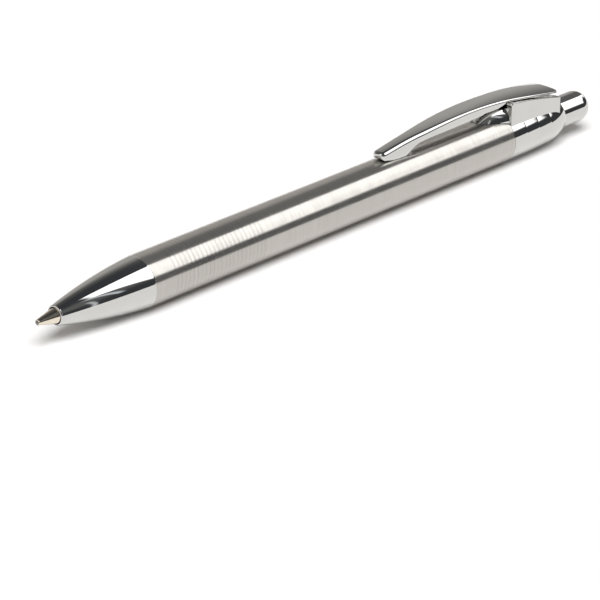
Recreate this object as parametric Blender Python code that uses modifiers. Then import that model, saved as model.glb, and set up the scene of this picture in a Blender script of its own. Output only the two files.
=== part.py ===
"""Retractable ballpoint pen in stainless steel, lying on its side with its tip out.

Lengths are in metres. The pen lies along X with its tip towards -X and its clip up.
Stations are counted along the pen's axis from the seam between the nose and the barrel,
negative towards the tip. The origin is under the middle of the pen, on the surface it lies on.
"""

import math

import bmesh
import bpy
from mathutils import Matrix, Vector

MM = 0.001

# Counts of facets and points
SIDES = 24
SMALL_SIDES = 16
NOSE_POINTS = 9
LIP_POINTS = 3
SHOULDER_POINTS = 6
RING_BULGE_POINTS = 5
DOME_POINTS = 7
CLIP_ARC_COUNT = 13
CLIP_TAIL_POINTS = 4
BLOCK_ARC_POINTS = 6
WEB_POINTS = 6
CURL_POINTS = 10
SEAL_POINTS = 8
SHARP_ANGLE = math.radians(30)

# Clearances
WELD = 0.001 * MM
OVERRUN = 0.5 * MM
PRESS_CLEARANCE = 0.05 * MM
RUNNING_CLEARANCE = 0.1 * MM
SEAT_CLEARANCE = 0.15 * MM
SEAM_GAP = 0.08 * MM
PLAY = 0.3 * MM

# Barrel
BARREL_LENGTH = 96.3 * MM
BARREL_DIAMETER = 10.0 * MM
BARREL_WALL = 0.5 * MM
GRIP_RING_COUNT = 20
GRIP_RING_PITCH = 1.15 * MM
GRIP_RING_WIDTH = 0.55 * MM
GRIP_RING_DEPTH = 0.06 * MM
GRIP_START = 2.6 * MM

# Nose shell and its lining
NOSE_LENGTH = 19.7 * MM
NOSE_RIM_DIAMETER = 3.7 * MM
NOSE_OPENING_DIAMETER = 3.25 * MM
NOSE_WALL = 0.45 * MM
NOSE_STRAIGHT_SHARE = 0.44
LIP_RADIUS = 0.22 * MM
LINER_FRONT_INSET = 3.2 * MM
LINER_BORE_DIAMETER = 3.3 * MM
SPRING_SEAT_INSET = 7.0 * MM
SPRING_CHAMBER_DIAMETER = 4.7 * MM

# Rubber ring between the nose's lining and the front bush
SEAL_SECTION = 0.7 * MM
SEAL_DIAMETER = 8.0 * MM

# Front bush with its threaded spigot
BUSH_LENGTH = 9.0 * MM
BUSH_BORE_DIAMETER = 6.1 * MM
SPIGOT_LENGTH = 5.0 * MM
SPIGOT_DIAMETER = 7.0 * MM
THREAD_PITCH = 0.75 * MM
THREAD_DEPTH = 0.12 * MM
THREAD_TURN_COUNT = 5

# Refill
BALL_DIAMETER = 0.9 * MM
BALL_PROTRUSION = 0.25 * MM
TIP_REACH = 24.0 * MM
TIP_LIP_DIAMETER = 1.08 * MM
TIP_LIP_LENGTH = 0.35 * MM
TIP_LIP_TAPER = 0.05 * MM
TIP_CONE_LENGTH = 3.9 * MM
TIP_DIAMETER = 3.0 * MM
TIP_LENGTH = 13.35 * MM
SOCKET_WALL = 0.06 * MM
SOCKET_ROOM = 0.03 * MM
CHANNEL_DIAMETER = 0.4 * MM
SHANK_DIAMETER = 1.8 * MM
SHANK_LENGTH = 4.0 * MM
NECK_DIAMETER = 2.5 * MM
REFILL_DIAMETER = 5.8 * MM
REFILL_WALL = 0.3 * MM
REFILL_SHOULDER_LENGTH = 1.6 * MM
INK_SPENT_LENGTH = 11.0 * MM
PLUG_SHANK_LENGTH = 6.0 * MM
PLUG_HEAD_LENGTH = 4.0 * MM
PLUG_BOSS_DIAMETER = 3.8 * MM
PLUG_BOSS_LENGTH = 2.0 * MM
PLUG_VENT_DIAMETER = 0.8 * MM

# Return spring
SPRING_WIRE = 0.4 * MM
SPRING_MEAN_DIAMETER = 3.7 * MM
SPRING_LENGTH = 9.6 * MM
SPRING_CURL_COUNT = 9

# Click mechanism
PRESS_OVERTRAVEL = 1.2 * MM
ROTOR_CUP_DIAMETER = 5.2 * MM
ROTOR_CUP_LENGTH = 4.0 * MM
ROTOR_CORE_DIAMETER = 4.6 * MM
ROTOR_LENGTH = 10.75 * MM
ROTOR_RIB_LENGTH = 4.0 * MM
ROTOR_RIB_INSET = 0.2 * MM
RIB_TIP_DIAMETER = 6.0 * MM
RIB_WIDTH = 1.2 * MM
RIB_COUNT = 4
TOOTH_COUNT = 8
TOOTH_HEIGHT = 1.1 * MM
TOOTH_BORE_DIAMETER = 2.4 * MM
TOOTH_RIM = 0.06 * MM
TOOTH_FREE_PLAY = 1.1 * MM
PLUNGER_CORE_LENGTH = 6.5 * MM
PLUNGER_KEY_LENGTH = 5.6 * MM
STEM_DIAMETER = 3.8 * MM
SLEEVE_LENGTH = 28.0 * MM
SLEEVE_DIAMETER = 8.0 * MM
SLEEVE_BORE_DIAMETER = 6.3 * MM
SLEEVE_END_WALL = 4.0 * MM
SLEEVE_FLANGE_THICKNESS = 1.0 * MM
LAND_BORE_DIAMETER = 4.9 * MM
LAND_GAP = 0.5 * MM
LAND_LENGTH = 17.8 * MM
SLOT_SIDE_CLEARANCE = 0.15 * MM
LOCK_NOTCH_WIDTH = 1.5 * MM

# Rear bush and collar
REAR_BUSH_REACH_IN = 12.0 * MM
REAR_BUSH_REACH_OUT = 6.7 * MM
COLLAR_LENGTH = 16.9 * MM
COLLAR_DIAMETER = 10.0 * MM
COLLAR_RING_COUNT = 3
COLLAR_RING_PITCH = 3.75 * MM
COLLAR_RING_RISE = 0.08 * MM
COLLAR_TAPER = 0.13 * MM
COLLAR_MOUTH_DIAMETER = 7.0 * MM

# Button
BUTTON_DIAMETER = 6.4 * MM
BUTTON_PROTRUSION = 8.8 * MM
BUTTON_PRESS_ROOM = 0.7 * MM
BUTTON_WALL = 0.4 * MM
BUTTON_DOME_LENGTH = 2.7 * MM
BUTTON_FLOOR = 3.3 * MM
DOME_FULLNESS_SHARE = 0.6

# Clip
CLIP_APEX_HEIGHT = 9.1 * MM
CLIP_APEX_AHEAD = 9.43 * MM
CLIP_ARC_RADIUS = 110.0 * MM
CLIP_FREE_LENGTH = 34.5 * MM
CLIP_FRONT_LIFT = 0.38 * MM
CLIP_FRONT_LIFT_REACH = 15.3 * MM
CLIP_TAIL_INSET = 0.1 * MM
CLIP_TAIL_CORNER = 1.3 * MM
CLIP_TIP_ROUND = 0.25 * MM
CLIP_TAIL_THICKNESS = 1.1 * MM
CLIP_CONTACT_GAP = 0.05 * MM
CLIP_EDGE_ROUND = 0.2 * MM
CLIP_SAG = 0.08 * MM
CLIP_NOTCH = 0.25 * MM
CLIP_THICKNESS = 1.8 * MM
CLIP_REAR_RISE = 0.2 * MM
CLIP_HEEL_LENGTH = 3.4 * MM
CLIP_HEEL_SHARE = 0.3
CLIP_TAIL_WIDTH = 7.0 * MM
CLIP_STEM_WIDTH = 4.6 * MM
CLIP_ARM_GAP = 0.4 * MM
CLIP_PLATE_THICKNESS = 0.7 * MM
CLIP_PLATE_TAIL_THICKNESS = 0.5 * MM
LUG_WIDTH = 2.0 * MM
LUG_LENGTH = 1.6 * MM
LUG_DEPTH = 0.75 * MM

# Where the clip's underside bends, as shares of the free length from its front end to the block,
# with the height of the underside at each, as a share of the room between barrel and clip apex
LOBE_SHARES = (
    (0.005, 0.085),
    (0.04, 0.03),
    (0.09, 0.0),
    (0.17, 0.0),
    (0.205, 0.045),
    (0.25, 0.18),
    (0.3, 0.315),
    (0.37, 0.38),
)
# Half widths of the clip from its front end to its tail, as shares of its tail's half width
CLIP_WIDTH_SHARES = (
    (0.0, 0.30),
    (0.02, 0.36),
    (0.15, 0.42),
    (0.25, 0.52),
    (0.36, 0.60),
    (0.53, 0.675),
    (0.70, 0.78),
    (0.86, 0.95),
    (1.0, 1.0),
)

# Block on the collar, which carries the clip
BLOCK_INSET = 0.05 * MM
BLOCK_LENGTH = 14.6 * MM
BLOCK_WIDTH = 7.5 * MM
BLOCK_BELOW_CLIP = 0.8 * MM
BLOCK_TAIL_FALL = 0.25 * MM
BLOCK_CORNER = 0.4 * MM
BLOCK_EDGE_ROUND = 0.15 * MM
RECESS_SIDE_CLEARANCE = 0.1 * MM
RECESS_FLOOR_HEIGHT = 6.6 * MM
RECESS_TAIL_FALL = 2.15 * MM
TONGUE_LENGTH = 6.9 * MM
TONGUE_HEIGHT = 6.95 * MM
TONGUE_TIP_WIDTH = 4.0 * MM
TONGUE_ROOT_WIDTH = 6.6 * MM
TONGUE_TIP_THICKNESS = 0.15 * MM

# Pin and spring of the clip
PIN_INSET = 5.2 * MM
PIN_HEIGHT = 5.75 * MM
PIN_DIAMETER = 0.9 * MM
PIN_BLIND_WALL = 0.7 * MM
PIN_END_GAP = 0.05 * MM
CLIP_SPRING_INSET = 10.9 * MM
CLIP_SPRING_SEAT_HEIGHT = 3.85 * MM
CLIP_SPRING_WIRE = 0.25 * MM
CLIP_SPRING_MEAN_DIAMETER = 1.95 * MM
CLIP_SPRING_CURL_COUNT = 2.5
CLIP_SPRING_POCKET_DIAMETER = 2.7 * MM

# Stations and radii that follow from the sizes above
BARREL_RADIUS = BARREL_DIAMETER / 2
BARREL_BORE_RADIUS = BARREL_RADIUS - BARREL_WALL
BUSH_RADIUS = BARREL_BORE_RADIUS - PRESS_CLEARANCE
AXIS_HEIGHT = BARREL_RADIUS * math.cos(math.pi / SIDES)
TIP_LIP_STATION = BALL_PROTRUSION - TIP_REACH
BALL_STATION = BALL_DIAMETER / 2 - TIP_REACH
TIP_SHOULDER_STATION = TIP_LIP_STATION + TIP_LENGTH
NECK_STATION = TIP_SHOULDER_STATION + RUNNING_CLEARANCE
SPRING_SEAT_STATION = SPRING_SEAT_INSET - NOSE_LENGTH
SPRING_STATION = SPRING_SEAT_STATION + RUNNING_CLEARANCE
REFILL_SHOULDER_STATION = SPRING_STATION + SPRING_LENGTH + RUNNING_CLEARANCE
REFILL_BODY_STATION = REFILL_SHOULDER_STATION + REFILL_SHOULDER_LENGTH
REFILL_RADIUS = REFILL_DIAMETER / 2
REFILL_BORE_RADIUS = REFILL_RADIUS - REFILL_WALL
COLLAR_STATION = BARREL_LENGTH + SEAM_GAP
COLLAR_END_STATION = BARREL_LENGTH + COLLAR_LENGTH
COLLAR_RADIUS = COLLAR_DIAMETER / 2
REAR_BUSH_END_STATION = BARREL_LENGTH + REAR_BUSH_REACH_OUT
SLEEVE_END_STATION = REAR_BUSH_END_STATION + RUNNING_CLEARANCE + SLEEVE_FLANGE_THICKNESS
SLEEVE_STATION = SLEEVE_END_STATION - SLEEVE_LENGTH
LAND_STATION = SLEEVE_END_STATION - SLEEVE_END_WALL - LAND_LENGTH
ROTOR_RIB_END_STATION = LAND_STATION - LAND_GAP
ROTOR_TEETH_STATION = ROTOR_RIB_END_STATION + ROTOR_RIB_INSET + TOOTH_HEIGHT
ROTOR_STATION = ROTOR_TEETH_STATION - ROTOR_LENGTH
PLUNGER_STATION = ROTOR_TEETH_STATION + TOOTH_FREE_PLAY + TOOTH_HEIGHT
PLUG_STEP_STATION = ROTOR_STATION - SEAT_CLEARANCE
REFILL_END_STATION = PLUG_STEP_STATION - PLUG_HEAD_LENGTH - RUNNING_CLEARANCE
INK_END_STATION = REFILL_END_STATION - PLUG_SHANK_LENGTH - INK_SPENT_LENGTH
BUTTON_END_STATION = COLLAR_END_STATION + BUTTON_PROTRUSION
BUTTON_STATION = SLEEVE_END_STATION + PRESS_OVERTRAVEL + BUTTON_PRESS_ROOM
BUTTON_LENGTH = BUTTON_END_STATION - BUTTON_STATION
BLOCK_STATION = COLLAR_STATION + BLOCK_INSET
BLOCK_END_STATION = BLOCK_STATION + BLOCK_LENGTH
CLIP_APEX_STATION = BLOCK_STATION - CLIP_APEX_AHEAD
CLIP_FRONT_STATION = BLOCK_STATION - CLIP_FREE_LENGTH
CLIP_REAR_STATION = BLOCK_END_STATION - CLIP_TAIL_INSET
PIN_STATION = BLOCK_STATION + PIN_INSET
CLIP_SPRING_STATION = BLOCK_STATION + CLIP_SPRING_INSET
SEAM_X = -(BUTTON_END_STATION - TIP_REACH) / 2


def clear_scene():
    for old in list(bpy.data.objects):
        bpy.data.objects.remove(old)
    for old in list(bpy.data.collections):
        bpy.data.collections.remove(old)


def new_collection(name):
    made = bpy.data.collections.new(name)
    bpy.context.scene.collection.children.link(made)
    return made


def new_finish(name, color, metallic, roughness):
    finish = bpy.data.materials.new(name)
    finish.use_nodes = True
    shader = finish.node_tree.nodes["Principled BSDF"]
    shader.inputs["Base Color"].default_value = (*color, 1.0)
    shader.inputs["Metallic"].default_value = metallic
    shader.inputs["Roughness"].default_value = roughness
    finish.diffuse_color = (*color, 1.0)
    return finish


def new_empty(name, location, turn=(0.0, 0.0, 0.0), parent=None):
    empty = bpy.data.objects.new(name, None)
    empty.location = location
    empty.rotation_euler = turn
    empty.parent = parent
    empty.empty_display_size = BARREL_DIAMETER
    pen.objects.link(empty)
    return empty


def add(name, data, finish, parent, location):
    """An object of the pen, with its finish."""
    piece = bpy.data.objects.new(name, data)
    piece.location = location
    piece.parent = parent
    data.materials.append(finish)
    pen.objects.link(piece)
    return piece


def as_cutter(piece):
    pen.objects.unlink(piece)
    cutters.objects.link(piece)
    piece.hide_render = True
    piece.display_type = "WIRE"
    return piece


def shade(mesh):
    mesh.shade_smooth()
    mesh.set_sharp_from_angle(angle=SHARP_ANGLE)


def made_mesh(piece):
    """Replaces a curve, or a mesh with modifiers, by the plain mesh it evaluates to."""
    bpy.context.view_layer.update()
    graph = bpy.context.evaluated_depsgraph_get()
    mesh = bpy.data.meshes.new_from_object(piece.evaluated_get(graph))
    work = bmesh.new()
    work.from_mesh(mesh)
    bmesh.ops.remove_doubles(work, verts=work.verts, dist=WELD)
    work.to_mesh(mesh)
    work.free()
    name, parent, location = piece.name, piece.parent, piece.location.copy()
    finish = piece.data.materials[0]
    bpy.data.objects.remove(piece)
    mesh.materials.clear()
    shade(mesh)
    return add(name, mesh, finish, parent, location)


def boolean(piece, other, operation):
    step = piece.modifiers.new(operation.title() + " " + other.name, "BOOLEAN")
    step.operation = operation
    step.object = other
    step.solver = "EXACT"


def join(piece, other):
    boolean(piece, as_cutter(other), "UNION")


def cut(piece, other):
    boolean(piece, as_cutter(other), "DIFFERENCE")


def turned(name, outline, finish, station=0.0, sides=SIDES):
    """A turned piece from (station, radius) points, counted from its own station. An outline that
    starts on the axis ends on it, and any other is a closed loop. A facet faces straight down."""
    closed = outline[0][1] > 0
    start = math.pi / sides
    area = sum(
        r0 * s1 - r1 * s0
        for (s0, r0), (s1, r1) in zip(outline, outline[1:] + outline[:1])
    )
    points = outline if area < 0 else outline[::-1]
    mesh = bpy.data.meshes.new(name)
    edges = [(i, i + 1) for i in range(len(points) - 1)]
    if closed:
        edges.append((len(points) - 1, 0))
    vertices = [(r * math.cos(start), r * math.sin(start), s) for s, r in points]
    mesh.from_pydata(vertices, edges, [])
    piece = add(name, mesh, finish, axis_line, (0.0, 0.0, station))
    screw = piece.modifiers.new("Turn", "SCREW")
    screw.axis = "Z"
    screw.angle = 2 * math.pi
    screw.steps = sides
    screw.render_steps = sides
    screw.use_merge_vertices = True
    screw.merge_threshold = WELD
    return made_mesh(piece)


def box(name, low, high, finish, parent, location=(0.0, 0.0, 0.0), turn=None):
    """A box between two corners, turned about its parent's origin where turn is given."""
    work = bmesh.new()
    bmesh.ops.create_cube(work, size=1.0)
    size = Vector(high) - Vector(low)
    middle = (Vector(high) + Vector(low)) / 2
    bmesh.ops.scale(work, vec=size, verts=work.verts)
    bmesh.ops.translate(work, vec=middle, verts=work.verts)
    if turn is not None:
        bmesh.ops.transform(work, matrix=turn, verts=work.verts)
    mesh = bpy.data.meshes.new(name)
    work.to_mesh(mesh)
    work.free()
    return add(name, mesh, finish, parent, location)


def cross_cylinder(name, radius, low_y, high_y, finish, location):
    """A cylinder along Y between two values of y."""
    work = bmesh.new()
    bmesh.ops.create_cone(
        work,
        cap_ends=True,
        segments=SMALL_SIDES,
        radius1=radius,
        radius2=radius,
        depth=high_y - low_y,
    )
    lay = Matrix.Rotation(math.pi / 2, 4, "X")
    move = Matrix.Translation((0.0, (low_y + high_y) / 2, 0.0))
    bmesh.ops.transform(work, matrix=move @ lay, verts=work.verts)
    mesh = bpy.data.meshes.new(name)
    work.to_mesh(mesh)
    work.free()
    shade(mesh)
    return add(name, mesh, finish, seam_point, location)


def side_outline(name, points, half_width, finish, location):
    """A flat outline of (x, z) points, made into a solid whose half width is a function of x."""
    curve = bpy.data.curves.new(name, "CURVE")
    curve.dimensions = "2D"
    curve.fill_mode = "BOTH"
    curve.extrude = BARREL_RADIUS
    spline = curve.splines.new("POLY")
    spline.points.add(len(points) - 1)
    spline.use_cyclic_u = True
    for point, (x, z) in zip(spline.points, points):
        point.co = (x, z, 0.0, 1.0)
    piece = made_mesh(add(name, curve, finish, seam_point, location))
    work = bmesh.new()
    work.from_mesh(piece.data)
    bmesh.ops.dissolve_limit(
        work, angle_limit=WELD / MM, verts=work.verts, edges=work.edges
    )
    for vertex in work.verts:
        x, z, side = vertex.co
        vertex.co = (x, math.copysign(half_width(x), -side), z)
    bmesh.ops.recalc_face_normals(work, faces=work.faces)
    work.to_mesh(piece.data)
    work.free()
    return piece


def rounded(piece, width):
    bevel = piece.modifiers.new("Edges", "BEVEL")
    bevel.width = width
    bevel.segments = 2
    bevel.limit_method = "ANGLE"
    bevel.angle_limit = 2 * SHARP_ANGLE


def helix(name, mean_radius, wire, length, curls, finish, parent, location):
    """A coil spring as one unbroken wire. Its ends stand in the planes 0 and length."""
    steps = round(curls * CURL_POINTS)
    rise = length - wire
    points = []
    for i in range(steps + 1):
        turn = 2 * math.pi * i / CURL_POINTS
        x, y = mean_radius * math.cos(turn), mean_radius * math.sin(turn)
        points.append(Vector((x, y, wire / 2 + rise * i / steps)))
    gap = min(
        (a - b).length
        for i, a in enumerate(points)
        for b in points[i + CURL_POINTS // 2 :]
    )
    print(f"{name}: least gap to itself {(gap - wire) / MM:.2f} mm")
    curve = bpy.data.curves.new(name, "CURVE")
    curve.dimensions = "3D"
    curve.bevel_depth = wire / 2
    curve.bevel_resolution = 1
    curve.use_fill_caps = True
    spline = curve.splines.new("POLY")
    spline.points.add(len(points) - 1)
    for point, place in zip(spline.points, points):
        point.co = (*place, 1.0)
    return add(name, curve, finish, parent, location)


def crown(name, base, inner, outer, points_forward, finish, station):
    """A ring of pointed teeth. They point along the axis, or back along it."""
    stations = 2 * TOOTH_COUNT
    way = 1 if points_forward else -1
    work = bmesh.new()
    rows = []
    for i in range(stations):
        turn = 2 * math.pi * i / stations
        across = (math.cos(turn), math.sin(turn))
        tip = way * TOOTH_HEIGHT * (i % 2)
        rows.append(
            [
                work.verts.new((radius * across[0], radius * across[1], height))
                for radius, height in (
                    (outer, -way * base),
                    (outer, tip),
                    (inner, tip),
                    (inner, -way * base),
                )
            ]
        )
    for here, there in zip(rows, rows[1:] + rows[:1]):
        for j in range(4):
            k = (j + 1) % 4
            work.faces.new((here[j], there[j], there[k], here[k]))
    bmesh.ops.recalc_face_normals(work, faces=work.faces)
    mesh = bpy.data.meshes.new(name)
    work.to_mesh(mesh)
    work.free()
    return add(name, mesh, finish, axis_line, (0.0, 0.0, station))


def radial_boxes(name, low_radius, high_radius, width, low, high, finish, station, lead=0.0):
    """Boxes spread evenly round the axis, one for each rib of the click mechanism."""
    made = []
    for i in range(RIB_COUNT):
        turn = Matrix.Rotation(2 * math.pi * i / RIB_COUNT + lead, 4, "Z")
        corner_low = (low_radius, -width / 2, low)
        corner_high = (high_radius, width / 2, high)
        place = (0.0, 0.0, station)
        made.append(
            box(f"{name}_{i + 1}", corner_low, corner_high, finish, axis_line, place, turn)
        )
    return made


def nose_radius(station):
    """Outer radius of the nose at a station, from the seam at 0 to its rim."""
    share = min(1.0, -station / NOSE_LENGTH)
    bend = NOSE_STRAIGHT_SHARE * share + (1 - NOSE_STRAIGHT_SHARE) * share**2
    return BARREL_RADIUS - (BARREL_RADIUS - NOSE_RIM_DIAMETER / 2) * bend


def spread(first, last, count):
    return [first + (last - first) * i / (count - 1) for i in range(count)]


def make_barrel_tube():
    outline = [(0.0, BARREL_BORE_RADIUS), (0.0, BARREL_RADIUS)]
    for i in range(GRIP_RING_COUNT):
        middle = GRIP_START + i * GRIP_RING_PITCH
        outline += [
            (middle - GRIP_RING_WIDTH / 2, BARREL_RADIUS),
            (middle, BARREL_RADIUS - GRIP_RING_DEPTH),
            (middle + GRIP_RING_WIDTH / 2, BARREL_RADIUS),
        ]
    outline += [(BARREL_LENGTH, BARREL_RADIUS), (BARREL_LENGTH, BARREL_BORE_RADIUS)]
    return turned("barrel_tube", outline, steel)


def make_nose_shell():
    rear = -SEAM_GAP
    front = -NOSE_LENGTH
    opening = NOSE_OPENING_DIAMETER / 2
    outer = [(s, nose_radius(s)) for s in spread(rear, front + LIP_RADIUS, NOSE_POINTS)]
    lip_middle = outer[-1][1] - LIP_RADIUS
    lip = []
    for i in range(1, LIP_POINTS + 1):
        turn = i / LIP_POINTS * math.pi / 2
        lip.append(
            (
                front + LIP_RADIUS * (1 - math.sin(turn)),
                lip_middle + LIP_RADIUS * math.cos(turn),
            )
        )
    inner = []
    for s, r in outer:
        if r - NOSE_WALL > opening:
            inner.append((s, r - NOSE_WALL))
    bore = [(front, opening), (inner[-1][0], opening)]
    return turned("nose_shell", outer + lip + bore + inner[::-1], chrome)


def liner_radius(station):
    return nose_radius(station) - NOSE_WALL - PRESS_CLEARANCE


def make_nose_liner():
    front = LINER_FRONT_INSET - NOSE_LENGTH
    rear = -SEAL_SECTION - SEAT_CLEARANCE
    seat = SPRING_SEAT_STATION
    socket_end = -SPIGOT_LENGTH - SEAT_CLEARANCE
    socket = SPIGOT_DIAMETER / 2 + RUNNING_CLEARANCE
    chamber = SPRING_CHAMBER_DIAMETER / 2
    outline = [(s, liner_radius(s)) for s in spread(front, rear, NOSE_POINTS)]
    outline += [
        (rear, socket),
        (socket_end, socket),
        (socket_end, chamber),
        (seat, chamber),
        (seat, LINER_BORE_DIAMETER / 2),
        (front, LINER_BORE_DIAMETER / 2),
    ]
    return turned("nose_liner", outline, dark_plastic)


def make_nose_seal():
    middle = -(SEAL_SECTION + SEAT_CLEARANCE) / 2
    outline = []
    for i in range(SEAL_POINTS):
        turn = 2 * math.pi * i / SEAL_POINTS
        outline.append(
            (
                middle + SEAL_SECTION / 2 * math.cos(turn),
                SEAL_DIAMETER / 2 + SEAL_SECTION / 2 * math.sin(turn),
            )
        )
    return turned("nose_seal", outline, rubber)


def make_front_bush():
    bore = BUSH_BORE_DIAMETER / 2
    crest = SPIGOT_DIAMETER / 2
    root = crest - THREAD_DEPTH
    thread = []
    for i in range(THREAD_TURN_COUNT):
        start = -SPIGOT_LENGTH + i * THREAD_PITCH
        thread += [
            (start + THREAD_PITCH / 4, root),
            (start + THREAD_PITCH * 3 / 4, crest),
        ]
    outline = [(-SPIGOT_LENGTH, bore), (-SPIGOT_LENGTH, root), *thread]
    outline += [(0.0, crest), (0.0, BUSH_RADIUS), (BUSH_LENGTH, BUSH_RADIUS)]
    outline += [(BUSH_LENGTH, bore)]
    return turned("front_bush", outline, brass)


def make_writing_ball():
    work = bmesh.new()
    bmesh.ops.create_uvsphere(
        work,
        u_segments=SMALL_SIDES,
        v_segments=SMALL_SIDES // 2,
        radius=BALL_DIAMETER / 2,
    )
    mesh = bpy.data.meshes.new("writing_ball")
    work.to_mesh(mesh)
    work.free()
    mesh.shade_smooth()
    return add("writing_ball", mesh, carbide, axis_line, (0.0, 0.0, BALL_STATION))


def make_refill_tip():
    ball = BALL_DIAMETER / 2
    socket = ball + SOCKET_ROOM
    seat = BALL_STATION + ball + SOCKET_WALL
    mouth = ball - SOCKET_ROOM / 2
    lip_end = TIP_LIP_STATION + TIP_LIP_LENGTH
    shank_end = TIP_SHOULDER_STATION + SHANK_LENGTH
    channel = CHANNEL_DIAMETER / 2
    outline = [
        (TIP_LIP_STATION, mouth),
        (TIP_LIP_STATION, TIP_LIP_DIAMETER / 2),
        (lip_end, TIP_LIP_DIAMETER / 2 + TIP_LIP_TAPER),
        (lip_end + TIP_CONE_LENGTH, TIP_DIAMETER / 2),
        (TIP_SHOULDER_STATION, TIP_DIAMETER / 2),
        (TIP_SHOULDER_STATION, SHANK_DIAMETER / 2),
        (shank_end, SHANK_DIAMETER / 2),
        (shank_end, channel),
        (seat, channel),
        (seat, socket),
        (BALL_STATION, socket),
    ]
    return turned("refill_tip", outline, nickel_silver, sides=SIDES)


def make_refill_body():
    neck = NECK_DIAMETER / 2
    neck_bore = SHANK_DIAMETER / 2 + PRESS_CLEARANCE
    outline = [
        (NECK_STATION, neck_bore),
        (NECK_STATION, neck),
        (REFILL_SHOULDER_STATION, neck),
        (REFILL_BODY_STATION, REFILL_RADIUS),
        (REFILL_END_STATION, REFILL_RADIUS),
        (REFILL_END_STATION, REFILL_BORE_RADIUS),
        (REFILL_BODY_STATION + REFILL_WALL, REFILL_BORE_RADIUS),
        (REFILL_SHOULDER_STATION + REFILL_WALL, neck_bore),
    ]
    return turned("refill_body", outline, refill_steel)


def make_ink_column():
    radius = REFILL_BORE_RADIUS - PRESS_CLEARANCE
    front = REFILL_BODY_STATION + REFILL_WALL + PRESS_CLEARANCE
    outline = [(front, 0.0), (front, radius), (INK_END_STATION, radius), (INK_END_STATION, 0.0)]
    return turned("ink_column", outline, ink, sides=SMALL_SIDES)


def make_refill_plug():
    vent = PLUG_VENT_DIAMETER / 2
    shank = REFILL_BORE_RADIUS - PRESS_CLEARANCE
    head_start = REFILL_END_STATION + RUNNING_CLEARANCE
    boss_end = PLUG_STEP_STATION + PLUG_BOSS_LENGTH
    outline = [
        (REFILL_END_STATION - PLUG_SHANK_LENGTH, vent),
        (REFILL_END_STATION - PLUG_SHANK_LENGTH, shank),
        (head_start, shank),
        (head_start, REFILL_RADIUS),
        (PLUG_STEP_STATION, REFILL_RADIUS),
        (PLUG_STEP_STATION, PLUG_BOSS_DIAMETER / 2),
        (boss_end, PLUG_BOSS_DIAMETER / 2),
        (boss_end, vent),
    ]
    return turned("refill_plug", outline, dark_plastic)


def make_return_spring():
    mean = SPRING_MEAN_DIAMETER / 2
    place = (0.0, 0.0, SPRING_STATION)
    return helix(
        "return_spring", mean, SPRING_WIRE, SPRING_LENGTH, SPRING_CURL_COUNT, spring_steel,
        axis_line, place,
    )


def make_rotor_cam():
    cup = ROTOR_CUP_DIAMETER / 2
    core = ROTOR_CORE_DIAMETER / 2
    hollow = PLUG_BOSS_DIAMETER / 2 + RUNNING_CLEARANCE
    hollow_depth = PLUG_BOSS_LENGTH + SEAT_CLEARANCE
    body_end = ROTOR_LENGTH - TOOTH_HEIGHT
    outline = [
        (hollow_depth, 0.0),
        (hollow_depth, hollow),
        (0.0, hollow),
        (0.0, cup),
        (ROTOR_CUP_LENGTH, cup),
        (ROTOR_CUP_LENGTH, core),
        (body_end, core),
        (body_end, 0.0),
    ]
    rotor = turned("rotor_cam", outline, pale_plastic, ROTOR_STATION)
    teeth = crown(
        "rotor_teeth", TOOTH_HEIGHT, TOOTH_BORE_DIAMETER / 2, core - TOOTH_RIM, True,
        pale_plastic, ROTOR_STATION + body_end,
    )
    join(rotor, teeth)
    rib_end = body_end - ROTOR_RIB_INSET
    ribs = radial_boxes(
        "rotor_rib", TOOTH_BORE_DIAMETER / 2, RIB_TIP_DIAMETER / 2, RIB_WIDTH,
        rib_end - ROTOR_RIB_LENGTH, rib_end, pale_plastic, ROTOR_STATION,
    )
    for rib in ribs:
        join(rotor, rib)
    return rotor


def make_plunger():
    core = ROTOR_CORE_DIAMETER / 2
    stem = STEM_DIAMETER / 2
    head = BUTTON_DIAMETER / 2 - BUTTON_WALL - PRESS_CLEARANCE
    head_start = BUTTON_STATION + SEAT_CLEARANCE - PLUNGER_STATION
    head_end = BUTTON_END_STATION - BUTTON_FLOOR - RUNNING_CLEARANCE - PLUNGER_STATION
    outline = [
        (0.0, 0.0),
        (0.0, core),
        (PLUNGER_CORE_LENGTH, core),
        (PLUNGER_CORE_LENGTH, stem),
        (head_start, stem),
        (head_start, head),
        (head_end, head),
        (head_end, 0.0),
    ]
    plunger = turned("plunger", outline, pale_plastic, PLUNGER_STATION)
    teeth = crown(
        "plunger_teeth", TOOTH_HEIGHT, TOOTH_BORE_DIAMETER / 2, core - TOOTH_RIM, False,
        pale_plastic, PLUNGER_STATION,
    )
    join(plunger, teeth)
    keys = radial_boxes(
        "plunger_key", TOOTH_BORE_DIAMETER / 2, RIB_TIP_DIAMETER / 2, RIB_WIDTH,
        SEAT_CLEARANCE, SEAT_CLEARANCE + PLUNGER_KEY_LENGTH, pale_plastic, PLUNGER_STATION,
    )
    for key in keys:
        join(plunger, key)
    return plunger


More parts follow.
